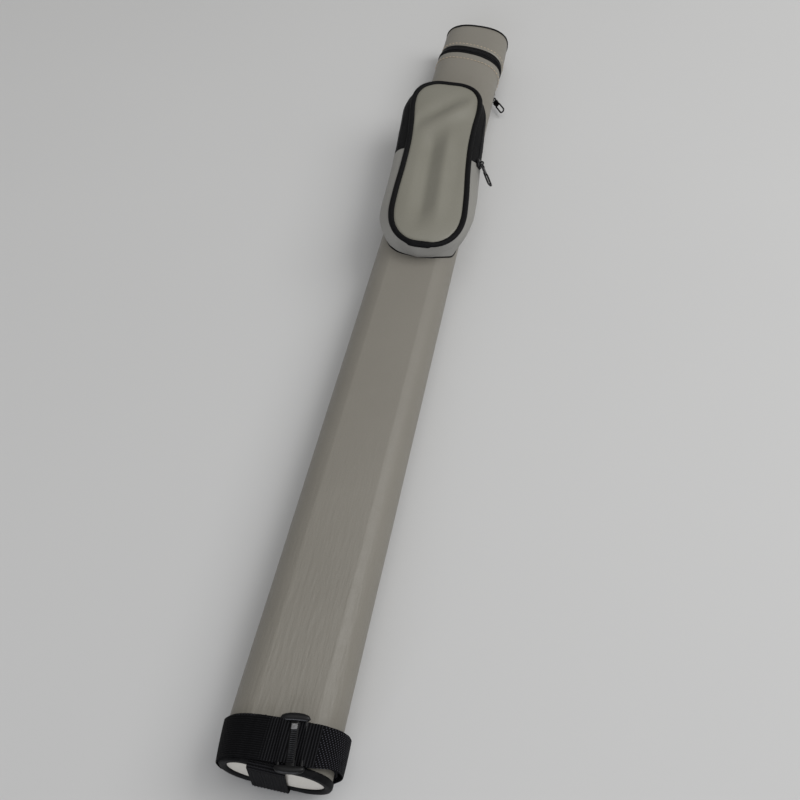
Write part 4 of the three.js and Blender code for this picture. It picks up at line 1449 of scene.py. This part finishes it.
def foam_pad(name, node, body):
    """A pad of cut foam with soft edges and slightly domed faces."""
    low, high = box_of(node)
    centre, half = (low + high) / 2, (high - low) / 2
    edge = min(FOAM_EDGE, half.y * 0.6, half.z * 0.12)
    section = [((1 - k) * half.z, FOAM_DOME * k ** 3) for k in (0.1, 0.3, 0.5, 0.7, 0.85)]
    for step in range(5):
        angle = math.pi / 2 * step / 4
        section.append((edge * (1 - math.sin(angle)), FOAM_DOME + edge * (1 - math.cos(angle))))
    stations = [(inset, low.y + depth, 1) for inset, depth in section]
    stations += [(inset, high.y - depth, -1) for inset, depth in reversed(section)]
    rows = []
    for inset, y, side in stations:
        row = []
        for x, z in long_round(half.x - inset, half.z - inset):
            soft = 0.2 * side * abs(noise.noise(Vector((x * 0.12, side, z * 0.12))))
            row.append((centre.x + x, y + soft, centre.z + z))
        rows.append(row)
    finish_piece(loft(name, rows, sharp=60), FOAM, "foam", body, [node])


def reach_inside(start, direction, centre, half):
    """How far a ray from start runs before it leaves a long round outline."""
    near, far = 0.0, 2 * half.x
    for _ in range(40):
        middle = (near + far) / 2
        x = start.x + direction.x * middle - centre.x
        z = start.y + direction.y * middle - centre.z
        past = math.hypot(max(abs(x) - (half.x - half.z), 0.0), z) - half.z
        near, far = (middle, far) if past < 0 else (near, middle)
    return near


def bored_foam():
    """The foam block that fills the tube: two halves, each running outwards from a sleeve's bore."""
    low, high = box_of("foam_core")
    centre, half = (low + high) / 2, (high - low) / 2
    bores = []
    for node in ("butt_sleeve", "shaft_sleeve"):
        corner_low, corner_high = box_of(node)
        middle = (corner_low + corner_high) / 2
        bores.append((Vector((middle.x, middle.z)), (corner_high.x - corner_low.x) / 2 + BORE_GAP))
    split_x = (bores[0][0].x + bores[1][0].x) / 2
    edge = FOAM_EDGE
    top = high.y
    outer = [(edge, low.y), (0.0, low.y + edge), (0.0, top - edge), (0.3 * edge, top - 0.3 * edge),
             (edge, top)]
    parts = []
    for start, radius in bores:
        to_split = split_x - start.x
        corner = math.atan2(half.z, to_split)
        angles = sorted([2 * math.pi * k / 64 - math.pi + 0.01 for k in range(64)] + [corner, -corner])
        rays = []
        for angle in angles:
            direction = Vector((math.cos(angle), math.sin(angle)))
            reach = reach_inside(start, direction, centre, half)
            at_corner = abs(abs(angle) - abs(corner)) < 1e-9
            on_split = at_corner or direction.x * to_split > 0 and to_split / direction.x < reach
            if on_split:
                reach = to_split / direction.x
            rays.append((direction, reach, on_split, at_corner))
        rows = []
        for inset, y in outer:
            row = []
            for direction, reach, on_split, at_corner in rays:
                at = start + direction * (reach if on_split else reach - inset)
                if at_corner:
                    at.y -= math.copysign(inset, direction.y)
                row.append((split_x if on_split else at.x, y, at.y))
            rows.append(row)
        for inset, y in reversed(outer):
            ring = [start + direction * (radius + inset) for direction, *_ in rays]
            rows.append([(at.x, y, at.y) for at in ring])
        points = [point for row in rows for point in row]
        faces = loft_faces(len(rows), len(rays), True, True, False)
        faces = [face for face in faces if any(abs(points[index][0] - split_x) > 1e-6 for index in face)]
        parts.append((points, faces, None))
    piece = join_parts("bored_foam_block", parts, 60)
    fix_normals(piece, weld=True)
    finish_piece(piece, FOAM, "foam", "case", ["foam_core"])


# ---- CAD nodes that stay --------------------------------------------------------------------------
KEPT = {
    "tube_shell": SHELL, "lid_shell": SHELL, "butt_sleeve": SLEEVE, "shaft_sleeve": SLEEVE,
    "mouth_collar": SLEEVE, "base_board": BOARD, "lid_board": BOARD,
}


def dress_kept_nodes():
    for name, look in KEPT.items():
        node = frame["nodes"][name]
        node.data.materials.clear()
        node.data.materials.append(look)


# ---- floor, light and camera ----------------------------------------------------------------------

def floor():
    mesh = bpy.data.meshes.new("studio_floor")
    size = 6.0
    mesh.from_pydata([(sx * size, sy * size, 0) for sx, sy in SQUARE], [], [(0, 1, 2, 3)])
    plane = bpy.data.objects.new("studio_floor", mesh)
    plane.location.z = cad_low.z - 0.0003
    bpy.context.collection.objects.link(plane)
    look = Look("pale_floor", 0.6, specular=0.3)
    look.colour(look.noise(3, 2), (0.60, 0.60, 0.595), (0.62, 0.62, 0.615))
    mesh.materials.append(look.bumps((look.noise(300, 3), 0.02, 0.0005)))


def area_light(name, position, target, size, power, colour=(1, 1, 1)):
    data = bpy.data.lights.new(name, "AREA")
    data.shape = "RECTANGLE"
    data.size, data.size_y = size
    data.energy = power
    data.color = colour
    light = bpy.data.objects.new(name, data)
    light.location = position
    light.rotation_mode = "QUATERNION"
    light.rotation_quaternion = (Vector(target) - Vector(position)).to_track_quat("-Z", "Y")
    bpy.context.collection.objects.link(light)


def lights():
    area_light("key_right", (1.6, 0.6, 1.9), (0, 0, 0), (1.8, 1.8), 27)
    area_light("top_soft", (0.6, 0.1, 2.9), (0, 0, 0), (3.0, 3.0), 22)
    area_light("low_front", (0.0, -4.0, 1.2), (0, 0.1, 0), (2.8, 1.6), 66, (0.88, 0.91, 1.0))
    world = bpy.data.worlds.new("soft_room")
    world.use_nodes = True
    world.node_tree.nodes["Background"].inputs["Color"].default_value = (1.0, 0.99, 0.97, 1)
    world.node_tree.nodes["Background"].inputs["Strength"].default_value = 0.31
    bpy.context.scene.world = world
    bpy.context.scene.view_settings.view_transform = "Standard"


CAMERA_PLACE = (83.2, -131.0, 559.5)
CAMERA_AHEAD = (-0.0917, 0.6059, -0.7902)
CAMERA_UP = (-0.1787, 0.7706, 0.6117)
SENSOR = 36.0
LENS = 39.15


def camera():
    data = bpy.data.cameras.new("camera")
    data.sensor_width = SENSOR
    data.lens = LENS
    data.clip_start = 0.01
    data.clip_end = 50
    made = bpy.data.objects.new("camera", data)
    ahead = Vector(CAMERA_AHEAD).normalized()
    right = ahead.cross(Vector(CAMERA_UP)).normalized()
    up = right.cross(ahead)
    turn = Matrix((right, up, -ahead)).transposed()
    made.matrix_world = Matrix.Translation(place(CAMERA_PLACE)) @ turn.to_4x4()
    bpy.context.collection.objects.link(made)
    bpy.context.scene.camera = made


camera()
body_cover()
lid_cover()
end_panel("base_end_panel", -1.6, -2.4, 4.0, 0.0, LEATHER_LIGHT, "case", "base_panel")
end_panel("lid_end_panel", LID_TOP - 0.2, 1.6, 1.6, LID_SHIFT, LEATHER, "lid", "lid_top_panel")
base_binding()
lid_binding()
lid_zip()
zip_tail()
lid_hinge_strip()
lid_stitching()
strap_band()
tri_glide()
base_strap()
strap_back()
pocket_front()
pocket_binding()
pocket_wall()
zip_slider("lid", math.radians(22), math.radians(-24), 0.0, 27.0)
zip_slider("pocket", math.radians(15), math.radians(17), math.radians(-16), 28.5)
bored_foam()
foam_pad("butt_foam_pad", "butt_pad", "case")
foam_pad("shaft_foam_pad", "shaft_pad", "case")
foam_pad("lid_foam_pad", "lid_pad", "lid")
dress_kept_nodes()
floor()
lights()
